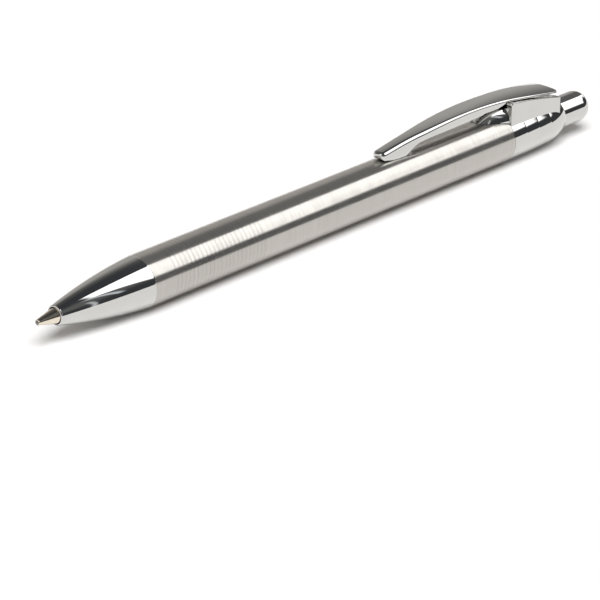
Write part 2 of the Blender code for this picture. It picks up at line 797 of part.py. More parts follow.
def make_cam_sleeve():
    outer = SLEEVE_DIAMETER / 2
    bore = SLEEVE_BORE_DIAMETER / 2
    land = LAND_BORE_DIAMETER / 2
    stem = STEM_DIAMETER / 2 + SEAT_CLEARANCE
    flange = COLLAR_RADIUS - BARREL_WALL - RUNNING_CLEARANCE
    end_wall = SLEEVE_LENGTH - SLEEVE_END_WALL
    flange_start = SLEEVE_LENGTH - SLEEVE_FLANGE_THICKNESS
    land_start = LAND_STATION - SLEEVE_STATION
    outline = [
        (0.0, bore),
        (0.0, outer),
        (flange_start, outer),
        (flange_start, flange),
        (SLEEVE_LENGTH, flange),
        (SLEEVE_LENGTH, stem),
        (end_wall, stem),
        (end_wall, land),
        (land_start, land),
        (land_start, bore),
    ]
    sleeve = turned("cam_sleeve", outline, pale_plastic, SLEEVE_STATION)
    slots = radial_boxes(
        "sleeve_slot", 0.0, bore, RIB_WIDTH + 2 * SLOT_SIDE_CLEARANCE,
        land_start - OVERRUN, end_wall, pale_plastic, SLEEVE_STATION,
    )
    for slot in slots:
        cut(sleeve, slot)
    half = LOCK_NOTCH_WIDTH / 2
    corner = Vector((half, half, bore / 2))
    for i in range(RIB_COUNT):
        lead = 2 * math.pi * (i + 1 / 2) / RIB_COUNT
        onto_land = (
            Matrix.Rotation(lead, 4, "Z")
            @ Matrix.Translation((bore / 2, 0.0, land_start))
            @ Matrix.Rotation(math.pi / 2, 4, "Y")
            @ Matrix.Rotation(math.pi / 4, 4, "Z")
        )
        place = (0.0, 0.0, SLEEVE_STATION)
        notch = box(f"lock_notch_{i + 1}", -corner, corner, pale_plastic, axis_line, place, onto_land)
        cut(sleeve, notch)
    return sleeve


def make_push_button():
    outer = BUTTON_DIAMETER / 2
    inner = outer - BUTTON_WALL
    dome_start = BUTTON_LENGTH - BUTTON_DOME_LENGTH
    dome = []
    for i in range(DOME_POINTS):
        turn = i / (DOME_POINTS - 1) * math.pi / 2
        radius = outer * max(0.0, math.cos(turn)) ** DOME_FULLNESS_SHARE
        dome.append((dome_start + BUTTON_DOME_LENGTH * math.sin(turn), radius))
    dome[-1] = (BUTTON_LENGTH, 0.0)
    floor = BUTTON_LENGTH - BUTTON_FLOOR
    outline = [(floor, 0.0), (floor, inner), (0.0, inner), (0.0, outer), *dome]
    return turned("push_button", outline, chrome, BUTTON_STATION)


def make_rear_bush():
    bore = SLEEVE_DIAMETER / 2 + PRESS_CLEARANCE
    start = BARREL_LENGTH - REAR_BUSH_REACH_IN
    outline = [
        (start, bore),
        (start, BUSH_RADIUS),
        (REAR_BUSH_END_STATION, BUSH_RADIUS),
        (REAR_BUSH_END_STATION, bore),
    ]
    return turned("rear_bush", outline, brass)


def clip_top(station):
    """Height of the clip's arched top above the pen's axis. The arch flattens towards its front."""
    ahead = CLIP_FRONT_STATION + CLIP_FRONT_LIFT_REACH - station
    lift = CLIP_FRONT_LIFT * (max(0.0, ahead) / CLIP_FRONT_LIFT_REACH) ** 2
    return CLIP_APEX_HEIGHT + lift - (station - CLIP_APEX_STATION) ** 2 / (2 * CLIP_ARC_RADIUS)


def collar_outline():
    """Outer line of the collar: shallow swelling rings, then a falling shoulder."""
    rings_end = COLLAR_RING_COUNT * COLLAR_RING_PITCH
    points = []
    for i in range(COLLAR_RING_COUNT):
        for j in range(RING_BULGE_POINTS):
            share = j / (RING_BULGE_POINTS - 1)
            along = (i + share) * COLLAR_RING_PITCH
            fall = COLLAR_TAPER * (along / rings_end) ** 2
            hollow = COLLAR_RING_RISE * (2 * share - 1) ** 2
            points.append((along, COLLAR_RADIUS - fall - hollow))
        if i < COLLAR_RING_COUNT - 1:
            points.pop()
    shoulder_start, shoulder_radius = points[-1]
    mouth = COLLAR_MOUTH_DIAMETER / 2
    end = COLLAR_LENGTH - SEAM_GAP
    for i in range(1, SHOULDER_POINTS + 1):
        share = i / SHOULDER_POINTS
        along = shoulder_start + (end - shoulder_start) * share
        points.append((along, mouth + (shoulder_radius - mouth) * (1 - share**2)))
    return points


def make_rear_collar():
    rings = collar_outline()
    ahead = (-OVERRUN, rings[0][1])
    solid = [(-OVERRUN, 0.0), ahead, *rings, (rings[-1][0], 0.0)]
    collar = turned("rear_collar", solid, chrome, COLLAR_STATION)
    join(collar, make_block())
    join(collar, make_tongue())
    cut(collar, make_collar_bore())
    cut(collar, make_clip_recess())
    cut(collar, make_lug_pocket())
    cut(collar, make_spring_pocket())
    low = PIN_BLIND_WALL - BLOCK_WIDTH / 2
    hole_radius = PIN_DIAMETER / 2 + PRESS_CLEARANCE
    place = (PIN_STATION, 0.0, PIN_HEIGHT)
    hole = cross_cylinder("pin_hole", hole_radius, low, BLOCK_WIDTH / 2 + OVERRUN, chrome, place)
    cut(collar, hole)
    return collar


def block_top(station):
    """Height of the block's top, which falls away from the clip behind the pin."""
    behind = max(0.0, (station - PIN_STATION) / (BLOCK_END_STATION - PIN_STATION))
    return clip_top(station) - BLOCK_BELOW_CLIP - BLOCK_TAIL_FALL * behind


def make_block():
    corner = BLOCK_STATION + BLOCK_CORNER
    top = [(BLOCK_STATION, block_top(corner) - BLOCK_CORNER)]
    for s in spread(corner, BLOCK_END_STATION, BLOCK_ARC_POINTS):
        top.append((s, block_top(s)))
    points = [*top, (BLOCK_END_STATION, 0.0), (BLOCK_STATION, 0.0)]
    block = side_outline("clip_block", points, lambda x: BLOCK_WIDTH / 2, chrome, (0.0, 0.0, 0.0))
    rounded(block, BLOCK_EDGE_ROUND)
    return block


def make_tongue():
    """Blunt web under the clip, from the block forward over the barrel."""
    front = BLOCK_STATION - TONGUE_LENGTH
    rear = BLOCK_STATION + OVERRUN
    floor = BARREL_RADIUS / 2
    tip_height = BARREL_RADIUS + RUNNING_CLEARANCE + TONGUE_TIP_THICKNESS
    points = [(rear, floor), (front, floor)]
    for s in spread(front, BLOCK_STATION, WEB_POINTS):
        fall = ((BLOCK_STATION - s) / TONGUE_LENGTH) ** 2
        points.append((s, TONGUE_HEIGHT + (tip_height - TONGUE_HEIGHT) * fall))
    points.append((rear, TONGUE_HEIGHT))

    def half_width(x):
        share = min(1.0, max(0.0, (x - front) / TONGUE_LENGTH))
        return (TONGUE_TIP_WIDTH + (TONGUE_ROOT_WIDTH - TONGUE_TIP_WIDTH) * share) / 2

    return side_outline("clip_tongue", points, half_width, chrome, (0.0, 0.0, 0.0))


def make_collar_bore():
    """Room for the barrel under the tongue, and for the rear bush, the sleeve and the button."""
    barrel_room = BARREL_RADIUS + RUNNING_CLEARANCE
    wide = COLLAR_RADIUS - BARREL_WALL
    step = SLEEVE_END_STATION + RUNNING_CLEARANCE
    narrow = BUTTON_DIAMETER / 2 + RUNNING_CLEARANCE
    end = COLLAR_END_STATION + OVERRUN
    front = BLOCK_STATION - TONGUE_LENGTH - OVERRUN
    outline = [
        (front, 0.0),
        (front, barrel_room),
        (COLLAR_STATION, barrel_room),
        (COLLAR_STATION, wide),
        (step, wide),
        (step, narrow),
        (end, narrow),
        (end, 0.0),
    ]
    return turned("collar_bore", outline, chrome)


def recess_floor(station):
    fall = max(0.0, (station - PIN_STATION) / (BLOCK_END_STATION - PIN_STATION))
    return RECESS_FLOOR_HEIGHT - RECESS_TAIL_FALL * fall


def make_clip_recess():
    """Recess in the block's top, deeper towards the tail, which dips as the clip opens."""
    half = CLIP_STEM_WIDTH / 2 + RECESS_SIDE_CLEARANCE
    top = CLIP_APEX_HEIGHT
    front, rear = BLOCK_STATION - OVERRUN, BLOCK_END_STATION + OVERRUN
    stations = (front, PIN_STATION, rear)
    points = [(s, recess_floor(s)) for s in stations] + [(rear, top), (front, top)]
    return side_outline("clip_recess", points, lambda x: half, chrome, (0.0, 0.0, 0.0))


def make_lug_pocket():
    reach = LUG_LENGTH / 2 + PLAY
    side = LUG_WIDTH / 2 + RUNNING_CLEARANCE
    low = (-reach, -side, -LUG_DEPTH - SEAT_CLEARANCE)
    high = (reach, side, CLIP_APEX_HEIGHT - PIN_HEIGHT)
    return box("lug_pocket", low, high, chrome, seam_point, (PIN_STATION, 0.0, PIN_HEIGHT))


def make_spring_pocket():
    work = bmesh.new()
    radius = CLIP_SPRING_POCKET_DIAMETER / 2
    depth = CLIP_APEX_HEIGHT - CLIP_SPRING_SEAT_HEIGHT
    bmesh.ops.create_cone(
        work, cap_ends=True, segments=SMALL_SIDES, radius1=radius, radius2=radius, depth=depth
    )
    bmesh.ops.translate(work, vec=(0.0, 0.0, depth / 2), verts=work.verts)
    mesh = bpy.data.meshes.new("spring_pocket")
    work.to_mesh(mesh)
    work.free()
    place = (CLIP_SPRING_STATION, 0.0, CLIP_SPRING_SEAT_HEIGHT)
    return add("spring_pocket", mesh, chrome, seam_point, place)


def clip_underside(station):
    """Height of the clip's underside from the end of its lobe back to its tail."""
    if station > BLOCK_STATION + PIN_INSET / 2:
        return clip_top(station) - CLIP_TAIL_THICKNESS
    notch = BLOCK_STATION - TONGUE_LENGTH
    if station > notch:
        return clip_top(notch) - CLIP_THICKNESS - CLIP_SAG + CLIP_REAR_RISE
    return clip_top(notch) - CLIP_THICKNESS - CLIP_SAG


def clip_plate_underside(station):
    """Height of the underside of the thin plate that spreads over the block."""
    share = (station - BLOCK_STATION) / (CLIP_REAR_STATION - BLOCK_STATION)
    thinning = (CLIP_PLATE_THICKNESS - CLIP_PLATE_TAIL_THICKNESS) * share
    return clip_top(station) - CLIP_PLATE_THICKNESS + thinning


def clip_half_width(station):
    if station > CLIP_REAR_STATION - CLIP_TAIL_CORNER + WELD:
        return CLIP_TAIL_WIDTH / 2 - CLIP_TAIL_CORNER
    share = (station - CLIP_FRONT_STATION) / (CLIP_REAR_STATION - CLIP_FRONT_STATION)
    for (s0, w0), (s1, w1) in zip(CLIP_WIDTH_SHARES, CLIP_WIDTH_SHARES[1:]):
        if share <= s1:
            along = max(0.0, (share - s0) / (s1 - s0))
            return (w0 + (w1 - w0) * along) * CLIP_TAIL_WIDTH / 2
    return CLIP_TAIL_WIDTH / 2


def make_clip():
    """The clip, arched over its whole length, with its rubbing lobe at the front. At its heel it
    thins to a plate over the block, and a narrower stem runs on in the block's recess."""
    contact = BARREL_RADIUS + CLIP_CONTACT_GAP
    room = CLIP_APEX_HEIGHT - BARREL_RADIUS
    notch = BLOCK_STATION - TONGUE_LENGTH
    step = CLIP_NOTCH
    arm_end = BLOCK_STATION - CLIP_ARM_GAP
    corner = CLIP_REAR_STATION - CLIP_TAIL_CORNER
    front = CLIP_FRONT_STATION + CLIP_TIP_ROUND
    top_stations = [CLIP_REAR_STATION, *spread(corner, front, CLIP_ARC_COUNT)]
    top = [(s, clip_top(s)) for s in top_stations]
    nose = [(CLIP_FRONT_STATION, clip_top(front) - CLIP_TIP_ROUND)]
    lobe = [(CLIP_FRONT_STATION + CLIP_FREE_LENGTH * s, contact + room * h) for s, h in LOBE_SHARES]
    heel = BLOCK_STATION - CLIP_HEEL_LENGTH
    rise = clip_plate_underside(arm_end) - clip_underside(heel)
    bend = ((heel + arm_end) / 2, clip_underside(heel) + rise * CLIP_HEEL_SHARE)
    arm = [*((s, clip_underside(s)) for s in (notch - step, notch + step, heel)), bend]
    plate_stations = [*spread(arm_end, corner, CLIP_TAIL_POINTS), CLIP_REAR_STATION]
    plate = [(s, clip_plate_underside(s)) for s in plate_stations]
    outline = [(x - PIN_STATION, z - PIN_HEIGHT) for x, z in top + nose + lobe + arm + plate]
    place = (PIN_STATION, 0.0, PIN_HEIGHT)
    clip = side_outline(
        "pocket_clip", outline, lambda x: clip_half_width(x + PIN_STATION), chrome, place
    )
    rounded(clip, CLIP_EDGE_ROUND)
    join(clip, make_clip_stem(heel, corner, place))
    lug_top = clip_top(PIN_STATION) - PIN_HEIGHT - CLIP_TAIL_THICKNESS / 2
    low = (-LUG_LENGTH / 2, -LUG_WIDTH / 2, -LUG_DEPTH)
    high = (LUG_LENGTH / 2, LUG_WIDTH / 2, lug_top)
    join(clip, box("clip_lug", low, high, chrome, seam_point, place))
    eye_radius = PIN_DIAMETER / 2 + PRESS_CLEARANCE
    eye_reach = LUG_WIDTH / 2 + OVERRUN
    cut(clip, cross_cylinder("lug_eye", eye_radius, -eye_reach, eye_reach, chrome, place))
    return clip


def make_clip_stem(start, end, place):
    """Stem under the clip's plate, thick ahead of the pin and thin behind it."""
    tail = BLOCK_STATION + PIN_INSET / 2
    step = CLIP_NOTCH
    thick = clip_underside(tail) + CLIP_NOTCH
    low = [(start, thick), (tail - step, thick)]
    for s in (tail + step, *spread(tail + PIN_INSET / 2, end, CLIP_TAIL_POINTS)):
        low.append((s, clip_underside(s)))
    high = [(s, clip_top(s) - CLIP_PLATE_TAIL_THICKNESS / 2) for s in spread(end, start, CLIP_TAIL_POINTS)]
    outline = [(x - PIN_STATION, z - PIN_HEIGHT) for x, z in low + high]
    return side_outline("clip_stem", outline, lambda x: CLIP_STEM_WIDTH / 2, chrome, place)


def make_clip_pin():
    low = PIN_BLIND_WALL + PIN_END_GAP - BLOCK_WIDTH / 2
    high = BLOCK_WIDTH / 2 - PIN_END_GAP
    place = (PIN_STATION, 0.0, PIN_HEIGHT)
    return cross_cylinder("clip_pin", PIN_DIAMETER / 2, low, high, spring_steel, place)


def make_clip_spring():
    foot = CLIP_SPRING_SEAT_HEIGHT + PIN_END_GAP
    reach = CLIP_SPRING_MEAN_DIAMETER / 2 + CLIP_SPRING_WIRE
    head = clip_underside(CLIP_SPRING_STATION + reach) - PIN_END_GAP
    mean = CLIP_SPRING_MEAN_DIAMETER / 2
    place = (CLIP_SPRING_STATION, 0.0, foot)
    length = head - foot
    return helix(
        "clip_spring", mean, CLIP_SPRING_WIRE, length, CLIP_SPRING_CURL_COUNT, spring_steel,
        seam_point, place,
    )


clear_scene()
pen = new_collection("pen")
cutters = new_collection("cutters")

steel = new_finish("turned_steel", (0.60, 0.59, 0.575), 1.0, 0.30)
chrome = new_finish("bright_chrome", (0.80, 0.80, 0.79), 1.0, 0.06)
nickel_silver = new_finish("nickel_silver", (0.80, 0.72, 0.60), 1.0, 0.18)
carbide = new_finish("ball_carbide", (0.22, 0.22, 0.23), 1.0, 0.20)
refill_steel = new_finish("refill_steel", (0.55, 0.55, 0.54), 1.0, 0.28)
spring_steel = new_finish("spring_steel", (0.50, 0.50, 0.50), 1.0, 0.25)
brass = new_finish("bush_brass", (0.76, 0.60, 0.30), 1.0, 0.30)
dark_plastic = new_finish("dark_plastic", (0.035, 0.035, 0.038), 0.0, 0.45)
pale_plastic = new_finish("pale_plastic", (0.78, 0.77, 0.73), 0.0, 0.40)
rubber = new_finish("seal_rubber", (0.02, 0.02, 0.02), 0.0, 0.70)
ink = new_finish("ink", (0.01, 0.015, 0.06), 0.0, 0.25)

seam_point = new_empty("seam_point", (SEAM_X, 0.0, AXIS_HEIGHT))
axis_line = new_empty("axis_line", (0.0, 0.0, 0.0), (0.0, math.pi / 2, 0.0), seam_point)

make_barrel_tube()
make_front_bush()
make_rear_bush()
make_cam_sleeve()
make_rear_collar()
make_nose_shell()
make_nose_liner()
make_nose_seal()
make_clip()
make_clip_pin()
make_clip_spring()
make_push_button()
make_plunger()
make_rotor_cam()
make_return_spring()
make_refill_body()
make_ink_column()
make_refill_plug()
make_refill_tip()
make_writing_ball()
bpy.context.view_layer.update()
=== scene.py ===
import math

import bmesh
import bpy
from mathutils import Matrix, Vector


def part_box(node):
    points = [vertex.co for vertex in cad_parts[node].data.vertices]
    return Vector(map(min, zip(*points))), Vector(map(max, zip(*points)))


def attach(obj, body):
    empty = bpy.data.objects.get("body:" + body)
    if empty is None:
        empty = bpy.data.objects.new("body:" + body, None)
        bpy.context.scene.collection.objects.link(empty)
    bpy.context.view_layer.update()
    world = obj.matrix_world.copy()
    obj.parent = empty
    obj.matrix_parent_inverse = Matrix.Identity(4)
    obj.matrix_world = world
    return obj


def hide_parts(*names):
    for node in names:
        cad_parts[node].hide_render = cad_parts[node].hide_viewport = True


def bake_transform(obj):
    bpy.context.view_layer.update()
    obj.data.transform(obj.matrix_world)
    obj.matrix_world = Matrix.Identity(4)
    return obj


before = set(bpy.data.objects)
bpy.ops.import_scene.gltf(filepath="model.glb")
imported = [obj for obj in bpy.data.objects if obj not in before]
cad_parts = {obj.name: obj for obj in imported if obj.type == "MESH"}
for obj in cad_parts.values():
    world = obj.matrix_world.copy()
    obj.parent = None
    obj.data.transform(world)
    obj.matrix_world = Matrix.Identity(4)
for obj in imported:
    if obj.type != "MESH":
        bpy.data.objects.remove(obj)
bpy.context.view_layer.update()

# The looks of a retractable stainless steel ballpoint pen. Lengths are in metres, written as
# millimetres times MM. Stations run along the pen from the seam between nose and barrel,
# negative towards the tip, and heights are taken from the pen's axis.

MM = 0.001
SEAM_X = -49.0 * MM
AXIS_Z = 4.9572 * MM
FLAT = AXIS_Z / (5.0 * MM)
SHARP = math.radians(28)
WELD = 0.0005 * MM
OVERRUN = 1.0 * MM

TURNED_SIDES = 192
SMALL_SIDES = 96

# Barrel
BARREL_LENGTH = 96.3 * MM
BARREL_RADIUS = 5.0 * MM
BARREL_BORE = 4.5 * MM
BARREL_CHAMFER = 0.02 * MM
RING_COUNT = 23
RING_PITCH = 1.0 * MM
RING_WIDTH = 0.62 * MM
RING_DEPTH = 0.01 * MM
RING_START = 5.25 * MM

# Nose
NOSE_LENGTH = 19.7 * MM
NOSE_RIM = 1.85 * MM
NOSE_OPENING = 1.625 * MM
NOSE_WALL = 0.45 * MM
NOSE_STRAIGHT = 0.44
LIP = 0.22 * MM
LIP_OVERHANG = 0.02 * MM
SEAM = 0.08 * MM
SEAM_EDGE = 0.015 * MM

# Collar, block and web
COLLAR_START = BARREL_LENGTH + SEAM
COLLAR_LENGTH = 16.9 * MM
COLLAR_RADIUS = 5.0 * MM
COLLAR_RINGS = 3
COLLAR_RING_PITCH = 3.75 * MM
COLLAR_RING_RISE = 0.024 * MM
COLLAR_JOINT = 0.006 * MM
COLLAR_TAPER = 0.23 * MM
COLLAR_MOUTH = 3.5 * MM
COLLAR_WALL = 0.5 * MM
COLLAR_BORE_END = BARREL_LENGTH + 7.9 * MM
BLOCK_START = COLLAR_START + 0.05 * MM
BLOCK_END = BLOCK_START + 14.6 * MM
BLOCK_HALF = 3.75 * MM
BLOCK_DROP = 0.8 * MM
BLOCK_FALL = 0.25 * MM
BLOCK_EDGE = 0.16 * MM
BLOCK_ROUND = 0.4 * MM
RECESS_HALF = 2.4 * MM
RECESS_FLOOR = 6.6 * MM
RECESS_FALL = 2.15 * MM
WEB_LENGTH = 6.9 * MM
WEB_HEIGHT = 7.1 * MM
WEB_TIP = 5.25 * MM
WEB_FRONT_HALF = 1.9 * MM
WEB_REAR_HALF = 3.35 * MM
PIN_STATION = BLOCK_START + 5.2 * MM
PIN_HEIGHT = 5.75 * MM
PIN_HOLE = 0.5 * MM
PIN_COVER = 0.7 * MM
LUG_ROOM = 1.1 * MM
LUG_DEPTH = 0.9 * MM
WELL_STATION = BLOCK_START + 10.9 * MM
WELL_FLOOR = 3.85 * MM
WELL_DEPTH = 5.25 * MM
WELL_RADIUS = 1.35 * MM

# Clip
CLIP_APEX = 9.09 * MM
CLIP_APEX_STATION = BLOCK_START - 9.43 * MM
CLIP_BEND = 110.0 * MM
CLIP_FREE = 34.5 * MM
CLIP_LIFT = 0.38 * MM
CLIP_LIFT_REACH = 15.3 * MM
CLIP_TAIL_LIFT = 0.2 * MM
CLIP_TAIL_REACH = 11.0 * MM
CLIP_SPREAD = 0.2 * MM
CLIP_FRONT = BLOCK_START - CLIP_FREE
CLIP_TAIL = BLOCK_END - 0.1 * MM
CLIP_HALF = 3.5 * MM
CLIP_CORNER = 1.3 * MM
CLIP_SAG = 0.08 * MM
CLIP_THICK = 1.8 * MM
CLIP_RISE = 0.2 * MM
CLIP_HEEL = BLOCK_START - 3.4 * MM
CLIP_TAIL_THICK = 1.1 * MM
CLIP_PLATE = 0.7 * MM
CLIP_PLATE_TAIL = 0.5 * MM
CLIP_STEM_HALF = 2.3 * MM
CLIP_ARM_END = BLOCK_START - 0.4 * MM
CLIP_REST = 5.05 * MM
CLIP_ROOM = 4.1 * MM
CLIP_EDGE = 0.84 * MM
CLIP_REAR_EDGE = 0.5 * MM
CLIP_CROWN = 0.07
CLIP_FLARE = 0.22 * MM
CLIP_NOSE = 0.95 * MM
CLIP_LUG_HALF = 1.0 * MM
LOBE_END = 0.37
LOBE_TOP = 0.38

# Button
BUTTON_START = 106.0 * MM
BUTTON_LENGTH = 16.0 * MM
BUTTON_RADIUS = 3.2 * MM
BUTTON_WALL = 0.4 * MM
BUTTON_DOME = 2.7 * MM
BUTTON_CROWN = 3.3 * MM
BUTTON_EDGE = 0.06 * MM
BUTTON_ROOM = 0.1 * MM

# Refill's tip and its ball
TIP_FRONT = -23.75 * MM
TIP_CONE = 3.9 * MM
TIP_LENGTH = 13.35 * MM
TIP_LIP = 0.35 * MM
TIP_RADIUS = 1.5 * MM
TIP_BORE = 0.2 * MM
SHANK_RADIUS = 0.9 * MM
SHANK_LENGTH = 4.0 * MM
BALL_STATION = -23.55 * MM
BALL_RADIUS = 0.45 * MM
BALL_ROOM = 0.03 * MM

# Springs
COIL_START = -12.6 * MM
COIL_LENGTH = 9.6 * MM

# Camera, as fitted to the photo
LENS = 209.52
CAMERA_PLACE = (-0.43444, -0.40925, 0.25306)
CAMERA_RIGHT = (0.692143, -0.721760, 0.0)
CAMERA_BACK = (-0.658706, -0.631676, 0.408810)


# Mesh work


def mix(a, b, share):
    return a + (b - a) * share


def spread(first, last, count):
    return [mix(first, last, i / (count - 1)) for i in range(count)]


def keep_sharp(mesh, angle=SHARP):
    mesh.shade_smooth()
    mesh.set_sharp_from_angle(angle=angle)


def clean_mesh(mesh, weld, outwards):
    """Welds points that meet and turns faces outwards, where asked."""
    work = bmesh.new()
    work.from_mesh(mesh)
    if weld:
        bmesh.ops.remove_doubles(work, verts=work.verts, dist=WELD)
    if outwards:
        bmesh.ops.recalc_face_normals(work, faces=work.faces)
    work.to_mesh(mesh)
    work.free()
    keep_sharp(mesh)


def new_piece(name, mesh, finish):
    piece = bpy.data.objects.new(name, mesh)
    bpy.context.scene.collection.objects.link(piece)
    mesh.materials.clear()
    mesh.materials.append(finish)
    return piece


def turned_mesh(name, outline, sides=TURNED_SIDES):
    """A turned shape from (station, radius) points. Radii are the real ones, and the mesh is
    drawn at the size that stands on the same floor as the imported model's flats."""
    closed = outline[0][1] > 0
    area = sum(a[0] * b[1] - a[1] * b[0] for a, b in zip(outline, outline[1:] + outline[:1]))
    points = outline if area < 0 else outline[::-1]
    vertices, rings = [], []
    for station, radius in points:
        x = SEAM_X + station
        if radius <= 0:
            rings.append([len(vertices)])
            vertices.append((x, 0.0, AXIS_Z))
            continue
        ring = []
        for j in range(sides):
            turn = 2 * math.pi * j / sides
            ring.append(len(vertices))
            vertices.append(
                (x, radius * FLAT * math.cos(turn), AXIS_Z + radius * FLAT * math.sin(turn))
            )
        rings.append(ring)
    faces = []
    pairs = list(zip(rings, rings[1:]))
    if closed:
        pairs.append((rings[-1], rings[0]))
    for here, there in pairs:
        if len(here) == 1 and len(there) == 1:
            continue
        for j in range(sides):
            k = (j + 1) % sides
            if len(here) == 1:
                faces.append((here[0], there[k], there[j]))
            elif len(there) == 1:
                faces.append((here[j], here[k], there[0]))
            else:
                faces.append((here[j], here[k], there[k], there[j]))
    mesh = bpy.data.meshes.new(name)
    mesh.from_pydata(vertices, [], faces)
    keep_sharp(mesh)
    return mesh


def lofted_mesh(name, sections):
    """A solid through closed sections of the same number of points, capped at both ends."""
    count = len(sections[0])
    vertices = [point for section in sections for point in section]
    faces = []
    for i in range(len(sections) - 1):
        for j in range(count):
            k = (j + 1) % count
            a, b = i * count, (i + 1) * count
            faces.append((a + j, a + k, b + k, b + j))
    faces.append(tuple(range(count))[::-1])
    last = (len(sections) - 1) * count
    faces.append(tuple(last + j for j in range(count)))
    mesh = bpy.data.meshes.new(name)
    mesh.from_pydata(vertices, [], faces)
    clean_mesh(mesh, weld=True, outwards=True)
    return mesh


def settle(piece, finish=None):
    """Uses up a piece's modifiers and keeps its name."""
    bpy.context.view_layer.update()
    graph = bpy.context.evaluated_depsgraph_get()
    mesh = bpy.data.meshes.new_from_object(piece.evaluated_get(graph))
    name = piece.name
    mesh.name = name
    finish = finish or piece.data.materials[0]
    bpy.data.objects.remove(piece)
    return new_piece(name, mesh, finish)


def combine(piece, others, operation):
    for other in others:
        step = piece.modifiers.new(operation.title(), "BOOLEAN")
        step.operation = operation
        step.object = other
        step.solver = "EXACT"
    made = settle(piece)
    for other in others:
        bpy.data.objects.remove(other)
    clean_mesh(made.data, weld=True, outwards=False)
    return made


def slab_mesh(name, outline, half):
    """A flat side outline of (station, height) points, given its half width on both sides."""
    near = [(SEAM_X + s, -half, AXIS_Z + h) for s, h in outline]
    far = [(SEAM_X + s, half, AXIS_Z + h) for s, h in outline]
    count = len(outline)
    faces = [tuple(range(count)), tuple(range(2 * count - 1, count - 1, -1))]
    for i in range(count):
        j = (i + 1) % count
        faces.append((i, i + count, j + count, j))
    mesh = bpy.data.meshes.new(name)
    mesh.from_pydata(near + far, [], faces)
    clean_mesh(mesh, weld=False, outwards=True)
    return mesh


def rod_mesh(name, radius, length, place):
    """A rod that place turns and moves, from upright with its middle at the origin."""
    work = bmesh.new()
    bmesh.ops.create_cone(
        work, cap_ends=True, segments=48, radius1=radius, radius2=radius, depth=length
    )
    bmesh.ops.transform(work, matrix=place, verts=work.verts)
    mesh = bpy.data.meshes.new(name)
    work.to_mesh(mesh)
    work.free()
    keep_sharp(mesh)
    return mesh


def pin_hole_mesh(name, low_y, high_y):
    """What cuts the hole for the clip's pin, across the pen."""
    place = Matrix.Translation((SEAM_X + PIN_STATION, (low_y + high_y) / 2, AXIS_Z + PIN_HEIGHT))
    return rod_mesh(name, PIN_HOLE, high_y - low_y, place @ Matrix.Rotation(math.pi / 2, 4, "X"))


def smooth_through(table, share):
    """A smooth line through (share, value) pairs that never runs past its neighbours."""
    if share <= table[0][0]:
        return table[0][1]
    if share >= table[-1][0]:
        return table[-1][1]
    slopes = [(b[1] - a[1]) / (b[0] - a[0]) for a, b in zip(table, table[1:])]
    tangents = [slopes[0]]
    for left, right in zip(slopes, slopes[1:]):
        tangents.append(0.0 if left * right <= 0 else 2 * left * right / (left + right))
    tangents.append(slopes[-1])
    for i, (a, b) in enumerate(zip(table, table[1:])):
        if share <= b[0]:
            span = b[0] - a[0]
            t = (share - a[0]) / span
            return (
                (2 * t**3 - 3 * t**2 + 1) * a[1]
                + (t**3 - 2 * t**2 + t) * span * tangents[i]
                + (3 * t**2 - 2 * t**3) * b[1]
                + (t**3 - t**2) * span * tangents[i + 1]
            )
    return table[-1][1]


# Node work

FLOAT, VECTOR, GEOMETRY = "NodeSocketFloat", "NodeSocketVector", "NodeSocketGeometry"


class Board:
    """Short words for adding and joining the nodes of one tree."""

    def __init__(self, tree):
        self.tree = tree

    def add(self, kind, **settings):
        node = self.tree.nodes.new(kind)
        for name, value in settings.items():
            setattr(node, name, value)
        return node

    def put(self, socket, value):
        if isinstance(value, bpy.types.NodeSocket):
            self.tree.links.new(value, socket)
        elif value is not None:
            socket.default_value = value

    def math(self, operation, a, b=None, c=None, clamp=False):
        node = self.add("ShaderNodeMath", operation=operation, use_clamp=clamp)
        for socket, value in zip(node.inputs, (a, b, c)):
            self.put(socket, value)
        return node.outputs[0]

    def vector(self, operation, a, b=None, scale=None):
        node = self.add("ShaderNodeVectorMath", operation=operation)
        self.put(node.inputs[0], a)
        if b is not None:
            self.put(node.inputs[1], b)
        if scale is not None:
            self.put(node.inputs["Scale"], scale)
        return node.outputs["Value" if operation in ("DOT_PRODUCT", "LENGTH") else "Vector"]

    def ramp(self, value, low, high, to_low=0.0, to_high=1.0):
        node = self.add("ShaderNodeMapRange", interpolation_type="SMOOTHSTEP")
        for socket, given in zip(node.inputs[:5], (value, low, high, to_low, to_high)):
            self.put(socket, given)
        return node.outputs[0]

    def blend(self, share, a, b):
        node = self.add("ShaderNodeMix", data_type="RGBA")
        self.put(node.inputs[0], share)
        self.put(node.inputs[6], a)
        self.put(node.inputs[7], b)
        return node.outputs[2]

    def split(self, vector):
        node = self.add("ShaderNodeSeparateXYZ")
        self.put(node.inputs[0], vector)
        return node.outputs

    def join(self, x=None, y=None, z=None):
        node = self.add("ShaderNodeCombineXYZ")
        for socket, value in zip(node.inputs, (x, y, z)):
            self.put(socket, value)
        return node.outputs[0]

    def noise(self, place, scale, detail=2.0, roughness=0.5):
        node = self.add("ShaderNodeTexNoise")
        self.put(node.inputs["Vector"], place)
        for name, value in (("Scale", scale), ("Detail", detail), ("Roughness", roughness)):
            self.put(node.inputs[name], value)
        return node.outputs[0]

    def group(self, made, **values):
        node = self.add("ShaderNodeGroup")
        node.node_tree = made
        for name, value in values.items():
            self.put(node.inputs[name.replace("_", " ")], value)
        return node


